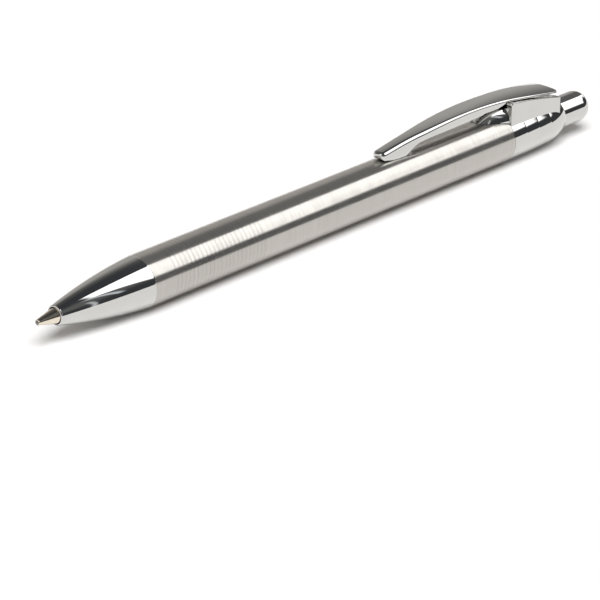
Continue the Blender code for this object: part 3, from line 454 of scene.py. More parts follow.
def new_group(name, kind, inputs, outputs):
    """A node group. Each input has a value, or else a type, and each output has a type."""
    tree = bpy.data.node_groups.new(name, kind)
    for label, given in inputs.items():
        made_for = {float: FLOAT, int: "NodeSocketInt", tuple: VECTOR}.get(type(given), given)
        socket = tree.interface.new_socket(label, in_out="INPUT", socket_type=made_for)
        if made_for is not given:
            socket.default_value = given
    for label, socket_type in outputs.items():
        tree.interface.new_socket(label, in_out="OUTPUT", socket_type=socket_type)
    start = tree.nodes.new("NodeGroupInput")
    end = tree.nodes.new("NodeGroupOutput")
    return tree, Board(tree), start.outputs, end.inputs


def ring_bowl(board, place, given):
    """How deep a place lies in the nearest of a row of rings along X, from 0 to 1."""
    pitch = given["Ring Pitch"]
    along = board.math("SUBTRACT", board.split(place)[0], given["First Ring"])
    steps = board.math("DIVIDE", along, pitch)
    last = board.math("SUBTRACT", given["Ring Count"], 1.0)
    nearest = board.math("MINIMUM", board.math("MAXIMUM", board.math("ROUND", steps), 0.0), last)
    away = board.math("ABSOLUTE", board.math("SUBTRACT", steps, nearest))
    half = board.math("MULTIPLY", given["Ring Width"], 0.5)
    share = board.math("DIVIDE", board.math("MULTIPLY", away, pitch), half, clamp=True)
    wave = board.math("COSINE", board.math("MULTIPLY", share, math.pi))
    return board.math("MULTIPLY_ADD", wave, 0.5, 0.5)


def make_ring_shade():
    """A mask of the groove bottoms of a row of turned rings, darkened there as painted shade."""
    tree, board, given, out = new_group(
        "Ring shade",
        "ShaderNodeTree",
        {
            "Place": VECTOR,
            "First Ring": 0.0,
            "Ring Pitch": 1.0 * MM,
            "Ring Width": 0.5 * MM,
            "Ring Count": 10.0,
            "Amount": 1.0,
        },
        {"Mask": FLOAT},
    )
    bowl = ring_bowl(board, given["Place"], given)
    board.put(out["Mask"], board.math("MULTIPLY", bowl, given["Amount"]))
    return tree


def make_turning_marks():
    """Fine lines that a lathe tool and a belt leave round a piece, seen along X."""
    tree, board, given, out = new_group(
        "Turning marks",
        "ShaderNodeTree",
        {"Place": VECTOR, "Lines per metre": 9000.0, "Length of lines": 60.0, "Depth": 1.0},
        {"Height": FLOAT, "Tone": FLOAT},
    )
    across, length = given["Lines per metre"], given["Length of lines"]
    scales = board.join(across, length, length)
    stretched = board.vector("MULTIPLY", given["Place"], scales)
    fine = board.noise(stretched, 1.0, 3.0, 0.65)
    broad = board.noise(board.vector("SCALE", stretched, scale=0.13), 1.0)
    both = board.math("MULTIPLY_ADD", broad, 0.14, board.math("MULTIPLY", fine, 0.86))
    board.put(out["Height"], board.math("MULTIPLY", both, given["Depth"]))
    board.put(out["Tone"], both)
    return tree


def make_polish_haze():
    """Faint wiping haze and hairlines on a bright plated surface."""
    tree, board, given, out = new_group(
        "Polish haze",
        "ShaderNodeTree",
        {"Place": VECTOR, "Patch size": 260.0, "Hairlines": 5200.0, "Low": 0.03, "High": 0.08},
        {"Roughness": FLOAT, "Height": FLOAT, "Tone": FLOAT},
    )
    patches = board.noise(given["Place"], given["Patch size"], 3.0)
    drawn_out = board.vector("MULTIPLY", given["Place"], (0.08, 1.0, 1.0))
    board.put(out["Height"], board.noise(drawn_out, given["Hairlines"], 1.0))
    board.put(out["Roughness"], board.ramp(patches, 0.35, 0.7, given["Low"], given["High"]))
    board.put(out["Tone"], patches)
    return tree


def make_edge_wear():
    """Edges rubbed a little brighter, from how sharply the surface turns."""
    tree, board, given, out = new_group(
        "Edge wear",
        "ShaderNodeTree",
        {"Place": VECTOR, "Start": 0.52, "End": 0.6, "Amount": 0.5},
        {"Mask": FLOAT},
    )
    shape = board.add("ShaderNodeNewGeometry")
    worn = board.ramp(shape.outputs["Pointiness"], given["Start"], given["End"])
    chips = board.ramp(board.noise(given["Place"], 1400.0), 0.3, 0.6)
    both = board.math("MULTIPLY", worn, chips)
    board.put(out["Mask"], board.math("MULTIPLY", both, given["Amount"]))
    return tree


def make_moulded_grain():
    """The faint orange-peel of a moulded or rubber surface."""
    tree, board, given, out = new_group(
        "Moulded grain",
        "ShaderNodeTree",
        {"Place": VECTOR, "Grain size": 6000.0},
        {"Height": FLOAT, "Tone": FLOAT},
    )
    board.put(out["Height"], board.noise(given["Place"], given["Grain size"], 4.0))
    board.put(out["Tone"], board.noise(given["Place"], 220.0))
    return tree


turning_marks = make_turning_marks()
polish_haze = make_polish_haze()
edge_wear = make_edge_wear()
moulded_grain = make_moulded_grain()
ring_shade = make_ring_shade()


def new_finish(name, metallic):
    """A finish with its shader, ready for nodes. A metallic share under 1 lets fine tool lines
    scatter a little light from every side."""
    finish = bpy.data.materials.new(name)
    finish.use_nodes = True
    tree = finish.node_tree
    tree.nodes.clear()
    board = Board(tree)
    shader = board.add("ShaderNodeBsdfPrincipled")
    result = board.add("ShaderNodeOutputMaterial")
    tree.links.new(shader.outputs[0], result.inputs[0])
    shader.inputs["Metallic"].default_value = metallic
    place = board.add("ShaderNodeTexCoord").outputs["Object"]
    return finish, board, shader, place


def end_finish(board, shader, place, plain, worn, rough, height, strength, depth):
    """Gives the shader its colour with rubbed edges, its roughness and its bumps."""
    wear = board.group(edge_wear, Place=place)
    worn = tuple(min(1.0, c) for c in worn)
    board.put(shader.inputs["Base Color"], board.blend(wear.outputs["Mask"], plain, (*worn, 1)))
    board.put(shader.inputs["Roughness"], rough)
    bump = board.add("ShaderNodeBump")
    for name, value in (("Strength", strength), ("Distance", depth), ("Height", height)):
        board.put(bump.inputs[name], value)
    board.put(shader.inputs["Normal"], bump.outputs[0])


def lathe_metal(name, dark, light, rough, lines, depth, anisotropy, rings=None):
    """Metal with its tool lines left on. Light draws out across the lines, along the pen."""
    finish, board, shader, place = new_finish(name, 0.88 if rings else 1.0)
    marks = board.group(turning_marks, Place=place, Lines_per_metre=lines)
    haze = board.group(polish_haze, Place=place, Low=rough[0], High=rough[1])
    plain = board.blend(board.ramp(marks.outputs["Tone"], 0.3, 0.7), (*dark, 1), (*light, 1))
    if rings:
        # Painted shade: the grip rings' groove bottoms are darkened in the colour
        ring_floor_shade = board.group(ring_shade, Place=place, **rings)
        painted_groove_shade = tuple(c * 0.7 for c in dark)
        plain = board.blend(ring_floor_shade.outputs["Mask"], plain, (*painted_groove_shade, 1))
    worn = [c * 1.12 for c in light]
    uneven = board.math("MULTIPLY", marks.outputs["Tone"], 0.04)
    dulled = board.math("ADD", haze.outputs["Roughness"], uneven)
    end_finish(board, shader, place, plain, worn, dulled, marks.outputs["Height"], 0.6, depth)
    shader.inputs["Anisotropic"].default_value = anisotropy
    shader.inputs["Anisotropic Rotation"].default_value = 0.25
    tangent = board.add("ShaderNodeTangent", direction_type="RADIAL", axis="X")
    board.put(shader.inputs["Tangent"], tangent.outputs[0])
    return finish


def bright_metal(name, dark, light, rough, depth):
    """Plated or polished metal, close to a mirror."""
    finish, board, shader, place = new_finish(name, 1.0)
    haze = board.group(polish_haze, Place=place, Low=rough[0], High=rough[1])
    plain = board.blend(haze.outputs["Tone"], (*dark, 1), (*light, 1))
    worn = [c * 1.08 for c in light]
    uneven = haze.outputs["Roughness"]
    end_finish(board, shader, place, plain, worn, uneven, haze.outputs["Height"], 0.25, depth)
    return finish


def moulded(name, dark, light, rough, grain, depth):
    """Moulded plastic, rubber or ink."""
    finish, board, shader, place = new_finish(name, 0.0)
    skin = board.group(moulded_grain, Place=place, Grain_size=grain)
    plain = board.blend(skin.outputs["Tone"], (*dark, 1), (*light, 1))
    worn = [c * 1.25 + 0.01 for c in light]
    uneven = board.ramp(skin.outputs["Tone"], 0.3, 0.7, *rough)
    end_finish(board, shader, place, plain, worn, uneven, skin.outputs["Height"], 0.4, depth)
    return finish


turned_steel = lathe_metal(
    "turned_steel", (0.455, 0.436, 0.412), (0.555, 0.533, 0.506),
    rough=(0.16, 0.21), lines=12000.0, depth=0.0022 * MM, anisotropy=0.75,
    # The grip rings' groove bottoms get painted shade
    rings={
        "First Ring": SEAM_X + RING_START,
        "Ring Pitch": RING_PITCH,
        "Ring Width": RING_WIDTH,
        "Ring Count": float(RING_COUNT),
        "Amount": 0.34,
    },
)
bright_chrome = bright_metal(
    "bright_chrome", (0.592, 0.59, 0.576), (0.642, 0.64, 0.623),
    rough=(0.025, 0.05), depth=0.0006 * MM,
)
nickel_silver = lathe_metal(
    "nickel_silver", (0.74, 0.66, 0.54), (0.84, 0.77, 0.66),
    rough=(0.10, 0.16), lines=14000.0, depth=0.001 * MM, anisotropy=0.4,
)
ball_carbide = bright_metal(
    "ball_carbide", (0.18, 0.18, 0.19), (0.26, 0.26, 0.27), rough=(0.12, 0.2), depth=0.0004 * MM
)
refill_steel = lathe_metal(
    "refill_steel", (0.48, 0.48, 0.47), (0.58, 0.58, 0.57),
    rough=(0.22, 0.3), lines=5000.0, depth=0.002 * MM, anisotropy=0.3,
)
spring_steel = bright_metal(
    "spring_steel", (0.42, 0.42, 0.42), (0.55, 0.55, 0.54), rough=(0.18, 0.28), depth=0.001 * MM
)
bush_brass = lathe_metal(
    "bush_brass", (0.66, 0.48, 0.20), (0.78, 0.61, 0.31),
    rough=(0.2, 0.28), lines=6000.0, depth=0.003 * MM, anisotropy=0.4,
)
dark_plastic = moulded(
    "dark_plastic", (0.028, 0.028, 0.031), (0.04, 0.04, 0.043),
    rough=(0.38, 0.5), grain=6000.0, depth=0.002 * MM,
)
pale_plastic = moulded(
    "pale_plastic", (0.72, 0.71, 0.67), (0.80, 0.79, 0.75),
    rough=(0.34, 0.44), grain=5000.0, depth=0.002 * MM,
)
seal_rubber = moulded(
    "seal_rubber", (0.016, 0.016, 0.017), (0.028, 0.028, 0.03),
    rough=(0.6, 0.75), grain=9000.0, depth=0.004 * MM,
)
ink = moulded(
    "ink", (0.006, 0.01, 0.045), (0.012, 0.018, 0.07),
    rough=(0.06, 0.12), grain=800.0, depth=0.0005 * MM,
)


# Geometry nodes


def end_geometry(board, geometry, given, out):
    real = board.add("GeometryNodeRealizeInstances")
    board.put(real.inputs[0], geometry)
    paint = board.add("GeometryNodeSetMaterial")
    board.put(paint.inputs["Geometry"], real.outputs[0])
    board.put(paint.inputs["Material"], given["Finish"])
    board.put(out["Geometry"], paint.outputs[0])


def make_ring_cutter():
    """Cuts evenly spaced rounded grooves round the outside of a turned surface."""
    tree, board, given, out = new_group(
        "Grip rings",
        "GeometryNodeTree",
        {
            "Geometry": GEOMETRY,
            "First Ring": 0.0,
            "Ring Pitch": 1.0 * MM,
            "Ring Width": 0.5 * MM,
            "Ring Depth": 0.05 * MM,
            "Ring Count": 10,
            "Axis Height": 0.0,
            "Least Radius": 4.7 * MM,
            "Finish": "NodeSocketMaterial",
        },
        {"Geometry": GEOMETRY},
    )
    place = board.add("GeometryNodeInputPosition").outputs[0]
    bowl = ring_bowl(board, place, given)
    parts = board.split(place)
    across = board.join(y=parts[1], z=board.math("SUBTRACT", parts[2], given["Axis Height"]))
    outside = board.math("GREATER_THAN", board.vector("LENGTH", across), given["Least Radius"])
    depth = board.math("MULTIPLY", board.math("MULTIPLY", bowl, given["Ring Depth"]), -1.0)
    inwards = board.vector("SCALE", board.vector("NORMALIZE", across), scale=depth)
    move = board.add("GeometryNodeSetPosition")
    board.put(move.inputs["Geometry"], given["Geometry"])
    board.put(move.inputs["Selection"], outside)
    board.put(move.inputs["Offset"], inwards)
    end_geometry(board, move.outputs[0], given, out)
    return tree


def make_coil_winder():
    """Winds a wire round an upright line at an even pitch."""
    tree, board, given, out = new_group(
        "Wound spring",
        "GeometryNodeTree",
        {
            "Geometry": GEOMETRY,
            "Mean Radius": 2.0 * MM,
            "Wire Radius": 0.2 * MM,
            "Height": 10.0 * MM,
            "Turns": 8.0,
            "Points": 400,
            "Finish": "NodeSocketMaterial",
        },
        {"Geometry": GEOMETRY},
    )
    spiral = board.add("GeometryNodeCurveSpiral")
    board.put(spiral.inputs["Resolution"], 40)
    board.put(spiral.inputs["Rotations"], given["Turns"])
    board.put(spiral.inputs["Start Radius"], given["Mean Radius"])
    board.put(spiral.inputs["End Radius"], given["Mean Radius"])
    wire_width = board.math("MULTIPLY", given["Wire Radius"], 2.0)
    board.put(spiral.inputs["Height"], board.math("SUBTRACT", given["Height"], wire_width))
    even = board.add("GeometryNodeResampleCurve")
    board.put(even.inputs["Curve"], spiral.outputs[0])
    board.put(even.inputs["Count"], given["Points"])
    lift = board.add("GeometryNodeSetPosition")
    board.put(lift.inputs["Geometry"], even.outputs[0])
    board.put(lift.inputs["Offset"], board.join(z=given["Wire Radius"]))
    ring = board.add("GeometryNodeCurvePrimitiveCircle")
    board.put(ring.inputs["Resolution"], 16)
    board.put(ring.inputs["Radius"], given["Wire Radius"])
    wire = board.add("GeometryNodeCurveToMesh")
    board.put(wire.inputs["Curve"], lift.outputs[0])
    board.put(wire.inputs["Profile Curve"], ring.outputs[0])
    board.put(wire.inputs["Fill Caps"], True)
    end_geometry(board, wire.outputs[0], given, out)
    return tree


def run_nodes(piece, tree, values):
    """Gives a piece a geometry tree with its sizes, and leaves the plain mesh."""
    step = piece.modifiers.new(tree.name, "NODES")
    step.node_group = tree
    sockets = {
        item.name: item.identifier
        for item in tree.interface.items_tree
        if item.item_type == "SOCKET" and item.in_out == "INPUT"
    }
    for name, value in values.items():
        step[sockets[name]] = value
    return settle(piece, values["Finish"])


ring_cutter = make_ring_cutter()
coil_winder = make_coil_winder()


# Pieces


def chrome(mesh):
    return new_piece(mesh.name, mesh, bright_chrome)


def finished(piece, body, slot, *nodes):
    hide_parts(*nodes)
    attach(piece, body)


def make_barrel():
    ends = BARREL_CHAMFER
    soft = ends * 0.35
    outer = [(0.0, BARREL_RADIUS - ends), (soft, BARREL_RADIUS - soft), (ends, BARREL_RADIUS)]
    grip_start = RING_START - RING_WIDTH
    grip_end = RING_START + (RING_COUNT - 1) * RING_PITCH + RING_WIDTH
    outer += [(s, BARREL_RADIUS) for s in spread(grip_start, grip_end, RING_COUNT * 12 + 1)]
    outer += [(s, BARREL_RADIUS) for s in spread(grip_end, BARREL_LENGTH - ends, 24)[1:]]
    outer += [(BARREL_LENGTH - soft, BARREL_RADIUS - soft), (BARREL_LENGTH, BARREL_RADIUS - ends)]
    outline = [(0.0, BARREL_BORE), *outer, (BARREL_LENGTH, BARREL_BORE)]
    piece = new_piece("barrel", turned_mesh("barrel", outline), turned_steel)
    piece = run_nodes(
        piece,
        ring_cutter,
        {
            "First Ring": SEAM_X + RING_START,
            "Ring Pitch": RING_PITCH,
            "Ring Width": RING_WIDTH,
            "Ring Depth": RING_DEPTH,
            "Ring Count": RING_COUNT,
            "Axis Height": AXIS_Z,
            "Least Radius": (BARREL_RADIUS + BARREL_BORE) / 2 * FLAT,
            "Finish": turned_steel,
        },
    )
    keep_sharp(piece.data)
    finished(piece, "barrel", "turned_steel", "barrel_tube")


def nose_radius(station):
    share = min(1.0, -station / NOSE_LENGTH)
    bend = NOSE_STRAIGHT * share + (1 - NOSE_STRAIGHT) * share**2
    return BARREL_RADIUS - (BARREL_RADIUS - NOSE_RIM) * bend


def make_nose():
    front = -NOSE_LENGTH
    rear = -SEAM_EDGE
    soft = SEAM_EDGE * 0.3
    outer = [(rear, nose_radius(rear) - SEAM_EDGE), (rear - soft, nose_radius(rear) - soft)]
    outer += [(s, nose_radius(s)) for s in spread(rear - SEAM_EDGE, front + LIP, 72)]
    middle = outer[-1][1] - LIP
    lip = []
    for turn in spread(0.0, math.pi, 15)[1:]:
        lip.append((front + LIP * (1 - math.sin(turn)), middle + LIP * math.cos(turn)))
    least = NOSE_OPENING - LIP_OVERHANG
    lip = [(s, r) for s, r in lip if r > least]
    inner = [(s, r - NOSE_WALL) for s, r in outer[2:] if r - NOSE_WALL > NOSE_OPENING]
    bore = [(inner[-1][0], NOSE_OPENING)]
    outline = [*outer, *lip, (front + LIP, NOSE_OPENING), *bore, *inner[::-1]]
    outline.append((rear, BARREL_RADIUS - NOSE_WALL))
    piece = chrome(turned_mesh("nose", outline))
    finished(piece, "barrel", "bright_chrome", "nose_shell")


def clip_top(station):
    lift = CLIP_LIFT * max(0.0, (CLIP_FRONT + CLIP_LIFT_REACH - station) / CLIP_LIFT_REACH) ** 2
    lift += CLIP_TAIL_LIFT * max(0.0, 1 - (CLIP_TAIL - station) / CLIP_TAIL_REACH) ** 2
    return clip_arc(station) + lift


def clip_arc(station):
    return CLIP_APEX - (station - CLIP_APEX_STATION) ** 2 / (2 * CLIP_BEND)


def collar_line():
    """Outer line of the collar: three shallow swelling rings, then a falling shoulder."""
    rings_end = COLLAR_RINGS * COLLAR_RING_PITCH
    half = 0.04 * MM
    points = []
    for i in range(COLLAR_RINGS):
        for share in spread(0.0, 1.0, 15)[min(i, 1) :]:
            along = (i + share) * COLLAR_RING_PITCH
            fall = COLLAR_TAPER * (along / rings_end) ** 3 + COLLAR_RING_RISE * (2 * share - 1) ** 2
            points.append((along, COLLAR_RADIUS - fall))
        joint, radius = points.pop()
        points += [(joint - half, radius), (joint, radius - COLLAR_JOINT), (joint + half, radius)]
    start, radius = points[-1]
    end = COLLAR_LENGTH - SEAM
    for share in spread(0.0, 1.0, 26)[1:]:
        fallen = COLLAR_MOUTH + (radius - COLLAR_MOUTH) * (1 - share**2)
        points.append((mix(start, end, share), fallen))
    return [(COLLAR_START + s, r) for s, r in points]


def block_top(station):
    behind = max(0.0, (station - PIN_STATION) / (BLOCK_END - PIN_STATION))
    return clip_arc(station) - BLOCK_DROP - BLOCK_FALL * behind


def block_mesh():
    corner = BLOCK_START + BLOCK_ROUND
    top = [(s, block_top(s)) for s in spread(corner, BLOCK_END, 24)]
    round_front = [
        (
            BLOCK_START + BLOCK_ROUND * (1 - math.sin(t)),
            top[0][1] - BLOCK_ROUND * (1 - math.cos(t)),
        )
        for t in spread(math.pi / 2, 0.0, 7)
    ]
    side = [(BLOCK_START, 0.0), *round_front[:-1], *top, (BLOCK_END, 0.0)]
    return slab_mesh("block", side, BLOCK_HALF)


def collar_hollow(end):
    """Room inside the collar for the barrel's end, the bush and the button."""
    bore = COLLAR_RADIUS - COLLAR_WALL
    around = BARREL_RADIUS + 0.1 * MM
    narrow = BUTTON_RADIUS + BUTTON_ROOM
    front = BLOCK_START - WEB_LENGTH - OVERRUN
    line = [(front, 0.0), (front, around), (COLLAR_START, around), (COLLAR_START, bore)]
    line += [(COLLAR_BORE_END, bore), (COLLAR_BORE_END, narrow), (end, narrow), (end, 0.0)]
    return turned_mesh("hollow", line)


def make_collar():
    """The collar with its block and web. Shapes that cut it run past it by OVERRUN."""
    line = collar_line()
    solid = [(COLLAR_START, 0.0), *line, (line[-1][0], 0.0)]
    collar = chrome(turned_mesh("collar", solid))
    block = chrome(block_mesh())
    bevel = block.modifiers.new("Edges", "BEVEL")
    bevel.width = BLOCK_EDGE
    bevel.segments = 4
    bevel.limit_method = "ANGLE"
    bevel.angle_limit = math.radians(50)
    block = settle(block)
    web = chrome(web_mesh())

    hollow = chrome(collar_hollow(line[-1][0] + OVERRUN))
    front, rear, over = BLOCK_START - OVERRUN, BLOCK_END + OVERRUN, CLIP_APEX + OVERRUN
    rear_floor = RECESS_FLOOR - RECESS_FALL * (rear - PIN_STATION) / (BLOCK_END - PIN_STATION)
    cut = [(front, RECESS_FLOOR), (PIN_STATION, RECESS_FLOOR), (rear, rear_floor)]
    cut += [(rear, over), (front, over)]
    recess = chrome(slab_mesh("recess", cut, RECESS_HALF))
    low, left, right = PIN_HEIGHT - LUG_DEPTH, PIN_STATION - LUG_ROOM, PIN_STATION + LUG_ROOM
    lug = [(left, low), (right, low), (right, CLIP_APEX), (left, CLIP_APEX)]
    pocket = chrome(slab_mesh("pocket", lug, LUG_ROOM))
    middle = (SEAM_X + WELL_STATION, 0.0, AXIS_Z + WELL_FLOOR + WELL_DEPTH / 2)
    well = chrome(rod_mesh("spring_well", WELL_RADIUS, WELL_DEPTH, Matrix.Translation(middle)))
    pin_hole = chrome(pin_hole_mesh("pin_hole", PIN_COVER - BLOCK_HALF, BLOCK_HALF + OVERRUN))
    collar = combine(collar, [block, web], "UNION")
    collar = combine(collar, [hollow, recess, pocket, well, pin_hole], "DIFFERENCE")
    finished(collar, "barrel", "bright_chrome", "rear_collar")


def web_mesh():
    """Rounded web under the clip, which runs forward from the block and sinks to the barrel."""
    front = BLOCK_START - WEB_LENGTH
    rear = BLOCK_START + 0.5 * MM
    low = BARREL_RADIUS * 0.5
    sections = []
    for s in [*spread(front, BLOCK_START, 49), rear]:
        share = min(1.0, (s - front) / WEB_LENGTH)
        half = mix(WEB_FRONT_HALF, WEB_REAR_HALF, share)
        height = mix(WEB_HEIGHT, WEB_TIP, (1 - share) ** 2)
        ring = []
        for t in spread(0.0, math.pi, 41):
            side = math.copysign(abs(math.cos(t)) ** 0.85, math.cos(t))
            ring.append((half * side, low + (height - low) * math.sin(t) ** 0.8))
        sections.append([(SEAM_X + s, y, AXIS_Z + h) for y, h in ring])
    return lofted_mesh("web", sections)


CLIP_UNDER = (
    (0.0, 0.11),
    (0.015, 0.055),
    (0.04, 0.03),
    (0.09, 0.0),
    (0.18, 0.0),
    (0.215, 0.07),
    (0.25, 0.19),
    (0.30, 0.32),
    (0.37, 0.38),
    (0.45, 0.455),
)
CLIP_WIDTHS = (
    (0.0, 0.30),
    (0.02, 0.36),
    (0.15, 0.42),
    (0.25, 0.52),
    (0.36, 0.60),
    (0.53, 0.675),
    (0.70, 0.78),
    (0.86, 0.95),
    (1.0, 1.0),
)


def clip_under(station):
    """Height of the clip's underside. At the heel it rises to the plate over the block."""
    share = (station - BLOCK_START) / (CLIP_TAIL - BLOCK_START)
    plate = clip_top(station) - mix(CLIP_PLATE, CLIP_PLATE_TAIL, share)
    if station > CLIP_ARM_END:
        return plate
    notch = BLOCK_START - WEB_LENGTH
    lift = clip_top(notch) - CLIP_THICK - CLIP_SAG
    share = (station - CLIP_FRONT) / CLIP_FREE
    if share < LOBE_END:
        return CLIP_REST + CLIP_ROOM * smooth_through(CLIP_UNDER, share)
    if station < notch - 0.5 * MM:
        start = CLIP_REST + CLIP_ROOM * LOBE_TOP
        notch_share = (notch - 0.5 * MM - CLIP_FRONT) / CLIP_FREE
        return mix(start, lift, (share - LOBE_END) / (notch_share - LOBE_END))
    rise = (station - notch + 0.5 * MM) / (1.0 * MM)
    if rise < 1.0:
        return lift + CLIP_RISE * (3 * rise**2 - 2 * rise**3)
    along = max(0.0, (station - CLIP_HEEL) / (CLIP_ARM_END - CLIP_HEEL))
    return mix(lift + CLIP_RISE, plate, along**1.7)


def clip_section(station, top, low, half, edge, drop):
    """Half of the clip's outline is a crowned top that falls by drop, a rounded edge, a side and
    an underside that follows the barrel where it is close to it. The other half mirrors it."""
    edge = min(edge, 0.55 * half, 0.5 * (top - low))
    foot = min(0.07 * MM, 0.3 * edge)
    near = max(0.0, 1 - (low - CLIP_REST) / (1.2 * MM))
    near *= min(1.0, max(0.0, (station - CLIP_FRONT - 1.5 * MM) / (3.0 * MM)))
    base = half + CLIP_FLARE * near
    lean = math.atan(2 * drop * (half - edge) / half**2)
    rim = half - edge + edge * math.sin(lean)
    middle = top - drop * (rim / half) ** 2 - edge * math.cos(lean)
    round_barrel = max(0.0, 1 - (low - CLIP_REST) / (0.3 * MM))

    def under(y):
        return low - round_barrel * (CLIP_REST - math.sqrt(CLIP_REST**2 - y**2))

    corner = under(base)
    points = [(y, top - drop * (y / half) ** 2) for y in spread(0.0, rim, 10)]
    for t in spread(lean, math.pi / 2, 15)[1:]:
        points.append((half - edge + edge * math.sin(t), middle + edge * math.cos(t)))
    for share in (0.33, 0.67):
        points.append((mix(half, base, share), mix(middle, corner + foot, share)))
    for t in spread(0.0, math.pi / 2, 4):
        points.append((base - foot + foot * math.cos(t), corner + foot - foot * math.sin(t)))
    for share in (0.75, 0.5, 0.25, 0.0):
        points.append((base * share, under(base * share)))
    mirrored = [(-y, h) for y, h in points[1:-1]][::-1]
    return [(SEAM_X + station, y, AXIS_Z + h) for y, h in points + mirrored]


def make_clip():
    """Arched clip with its rubbing lobe, a thin plate over the block and a stem in its recess."""
    sections = []
    stations = [CLIP_FRONT + CLIP_NOSE * (1 - math.cos(t)) for t in spread(0.06, math.pi / 2, 16)]
    stations += spread(CLIP_FRONT + CLIP_NOSE, CLIP_ARM_END, 170)[1:]
    stations += [CLIP_ARM_END + 0.01 * MM]
    stations += spread(CLIP_ARM_END + 0.2 * MM, CLIP_TAIL - CLIP_CORNER, 50)
    bend = spread(0.0, math.pi / 2 - 0.04, 16)[1:]
    stations += [CLIP_TAIL - CLIP_CORNER + CLIP_CORNER * math.sin(t) for t in bend]
    for s in stations:
        along = (s - CLIP_FRONT) / (CLIP_TAIL - CLIP_FRONT)
        half = CLIP_HALF * smooth_through(CLIP_WIDTHS, along) + CLIP_SPREAD * max(0.0, 1 - along)
        top, low = clip_top(s), clip_under(s)
        drop = CLIP_CROWN * half
        along = min(1.0, max(0.0, (s - CLIP_FRONT) / CLIP_FREE - 0.35) / 0.35)
        edge = mix(CLIP_EDGE, CLIP_REAR_EDGE, along)
        if s < CLIP_FRONT + CLIP_NOSE:
            share = math.sqrt(max(0.0, 1 - (1 - (s - CLIP_FRONT) / CLIP_NOSE) ** 2))
            centre = mix(low, top, 0.52)
            half *= share
            drop *= share
            top, low = mix(centre, top, share), mix(centre, low, share)
        if s > CLIP_TAIL - CLIP_CORNER:
            share = math.sqrt(max(0.0, 1 - ((s - CLIP_TAIL + CLIP_CORNER) / CLIP_CORNER) ** 2))
            drop *= ((half - CLIP_CORNER * (1 - share)) / half) ** 2
            half = half - CLIP_CORNER * (1 - share)
        sections.append(clip_section(s, top, low, half, edge, drop))
    clip = chrome(lofted_mesh("clip", sections))
    stem = chrome(slab_mesh("stem", stem_side(), CLIP_STEM_HALF))
    lug = chrome(slab_mesh("lug", lug_side(), CLIP_LUG_HALF))
    eye = chrome(pin_hole_mesh("eye", -1.5 * MM, 1.5 * MM))
    clip = combine(clip, [stem, lug], "UNION")
    clip = combine(clip, [eye], "DIFFERENCE")
    finished(clip, "clip", "bright_chrome", "pocket_clip")


def stem_side():
    """Side line of the stem that stiffens the plate and lies in the block's recess."""
    inset = 0.25 * MM
    step = PIN_STATION - 2.6 * MM
    end = CLIP_TAIL - CLIP_CORNER
    thick = clip_under(CLIP_HEEL) + inset
    low = [(CLIP_HEEL, thick), (step - inset, thick)]
    low += [(s, clip_top(s) - CLIP_TAIL_THICK) for s in spread(step + inset, end, 14)]
    return low + [(s, clip_top(s) - CLIP_PLATE_TAIL * 0.6) for s in spread(end, CLIP_HEEL, 20)]


def lug_side():
    """Side line of the lug that the clip's pin runs through."""
    top = clip_top(PIN_STATION) - CLIP_TAIL_THICK / 2
    half, slim = 0.8 * MM, 0.4 * MM
    corner, foot = PIN_HEIGHT - 0.3 * MM, PIN_HEIGHT - 0.75 * MM
    line = [(-half, top), (-half, corner), (-slim, foot), (slim, foot), (half, corner), (half, top)]
    return [(PIN_STATION + s, h) for s, h in line]


def make_button():
    dome_start = BUTTON_LENGTH - BUTTON_DOME
    dome = []
    for turn in spread(0.0, math.pi / 2, 40):
        radius = BUTTON_RADIUS * max(0.0, math.cos(turn)) ** 0.6
        dome.append((dome_start + BUTTON_DOME * math.sin(turn), radius))
    dome[-1] = (BUTTON_LENGTH, 0.0)
    inner = BUTTON_RADIUS - BUTTON_WALL
    floor = BUTTON_LENGTH - BUTTON_CROWN
    mouth = [(0.0, inner), (0.0, BUTTON_RADIUS - BUTTON_EDGE), (BUTTON_EDGE, BUTTON_RADIUS)]
    outline = [(BUTTON_START + s, r) for s, r in [(floor, 0.0), (floor, inner), *mouth, *dome]]
    piece = chrome(turned_mesh("button", outline))
    finished(piece, "button", "bright_chrome", "push_button")


def make_tip():
    socket = BALL_RADIUS + BALL_ROOM
    socket_end = BALL_STATION + BALL_RADIUS + 2 * BALL_ROOM
    lip_end = TIP_FRONT + TIP_LIP
    cone_end = lip_end + TIP_CONE
    end = TIP_FRONT + TIP_LENGTH
    shank_end = end + SHANK_LENGTH
    outline = [
        (TIP_FRONT, BALL_RADIUS - 0.015 * MM),
        (TIP_FRONT, 0.5 * MM),
        (TIP_FRONT + 0.04 * MM, 0.54 * MM),
        (lip_end - 0.05 * MM, 0.575 * MM),
        (lip_end, 0.6 * MM),
        (cone_end - 0.12 * MM, 1.46 * MM),
        (cone_end - 0.04 * MM, 1.488 * MM),
        (cone_end + 0.06 * MM, TIP_RADIUS),
        (end - 0.05 * MM, TIP_RADIUS),
        (end, TIP_RADIUS - 0.05 * MM),
        (end, SHANK_RADIUS),
        (shank_end, SHANK_RADIUS),
        (shank_end, TIP_BORE),
        (socket_end, TIP_BORE),
        (socket_end, socket),
        (BALL_STATION, socket),
    ]
    piece = new_piece("tip", turned_mesh("tip", outline, SMALL_SIDES), nickel_silver)
    finished(piece, "refill", "nickel_silver", "refill_tip")


def make_ball():
    work = bmesh.new()
    bmesh.ops.create_icosphere(work, subdivisions=5, radius=BALL_RADIUS)
    bmesh.ops.translate(work, vec=(SEAM_X + BALL_STATION, 0.0, AXIS_Z), verts=work.verts)
    mesh = bpy.data.meshes.new("ball")
    work.to_mesh(mesh)
    work.free()
    mesh.shade_smooth()
    finished(new_piece("ball", mesh, ball_carbide), "ball", "ball_carbide", "writing_ball")


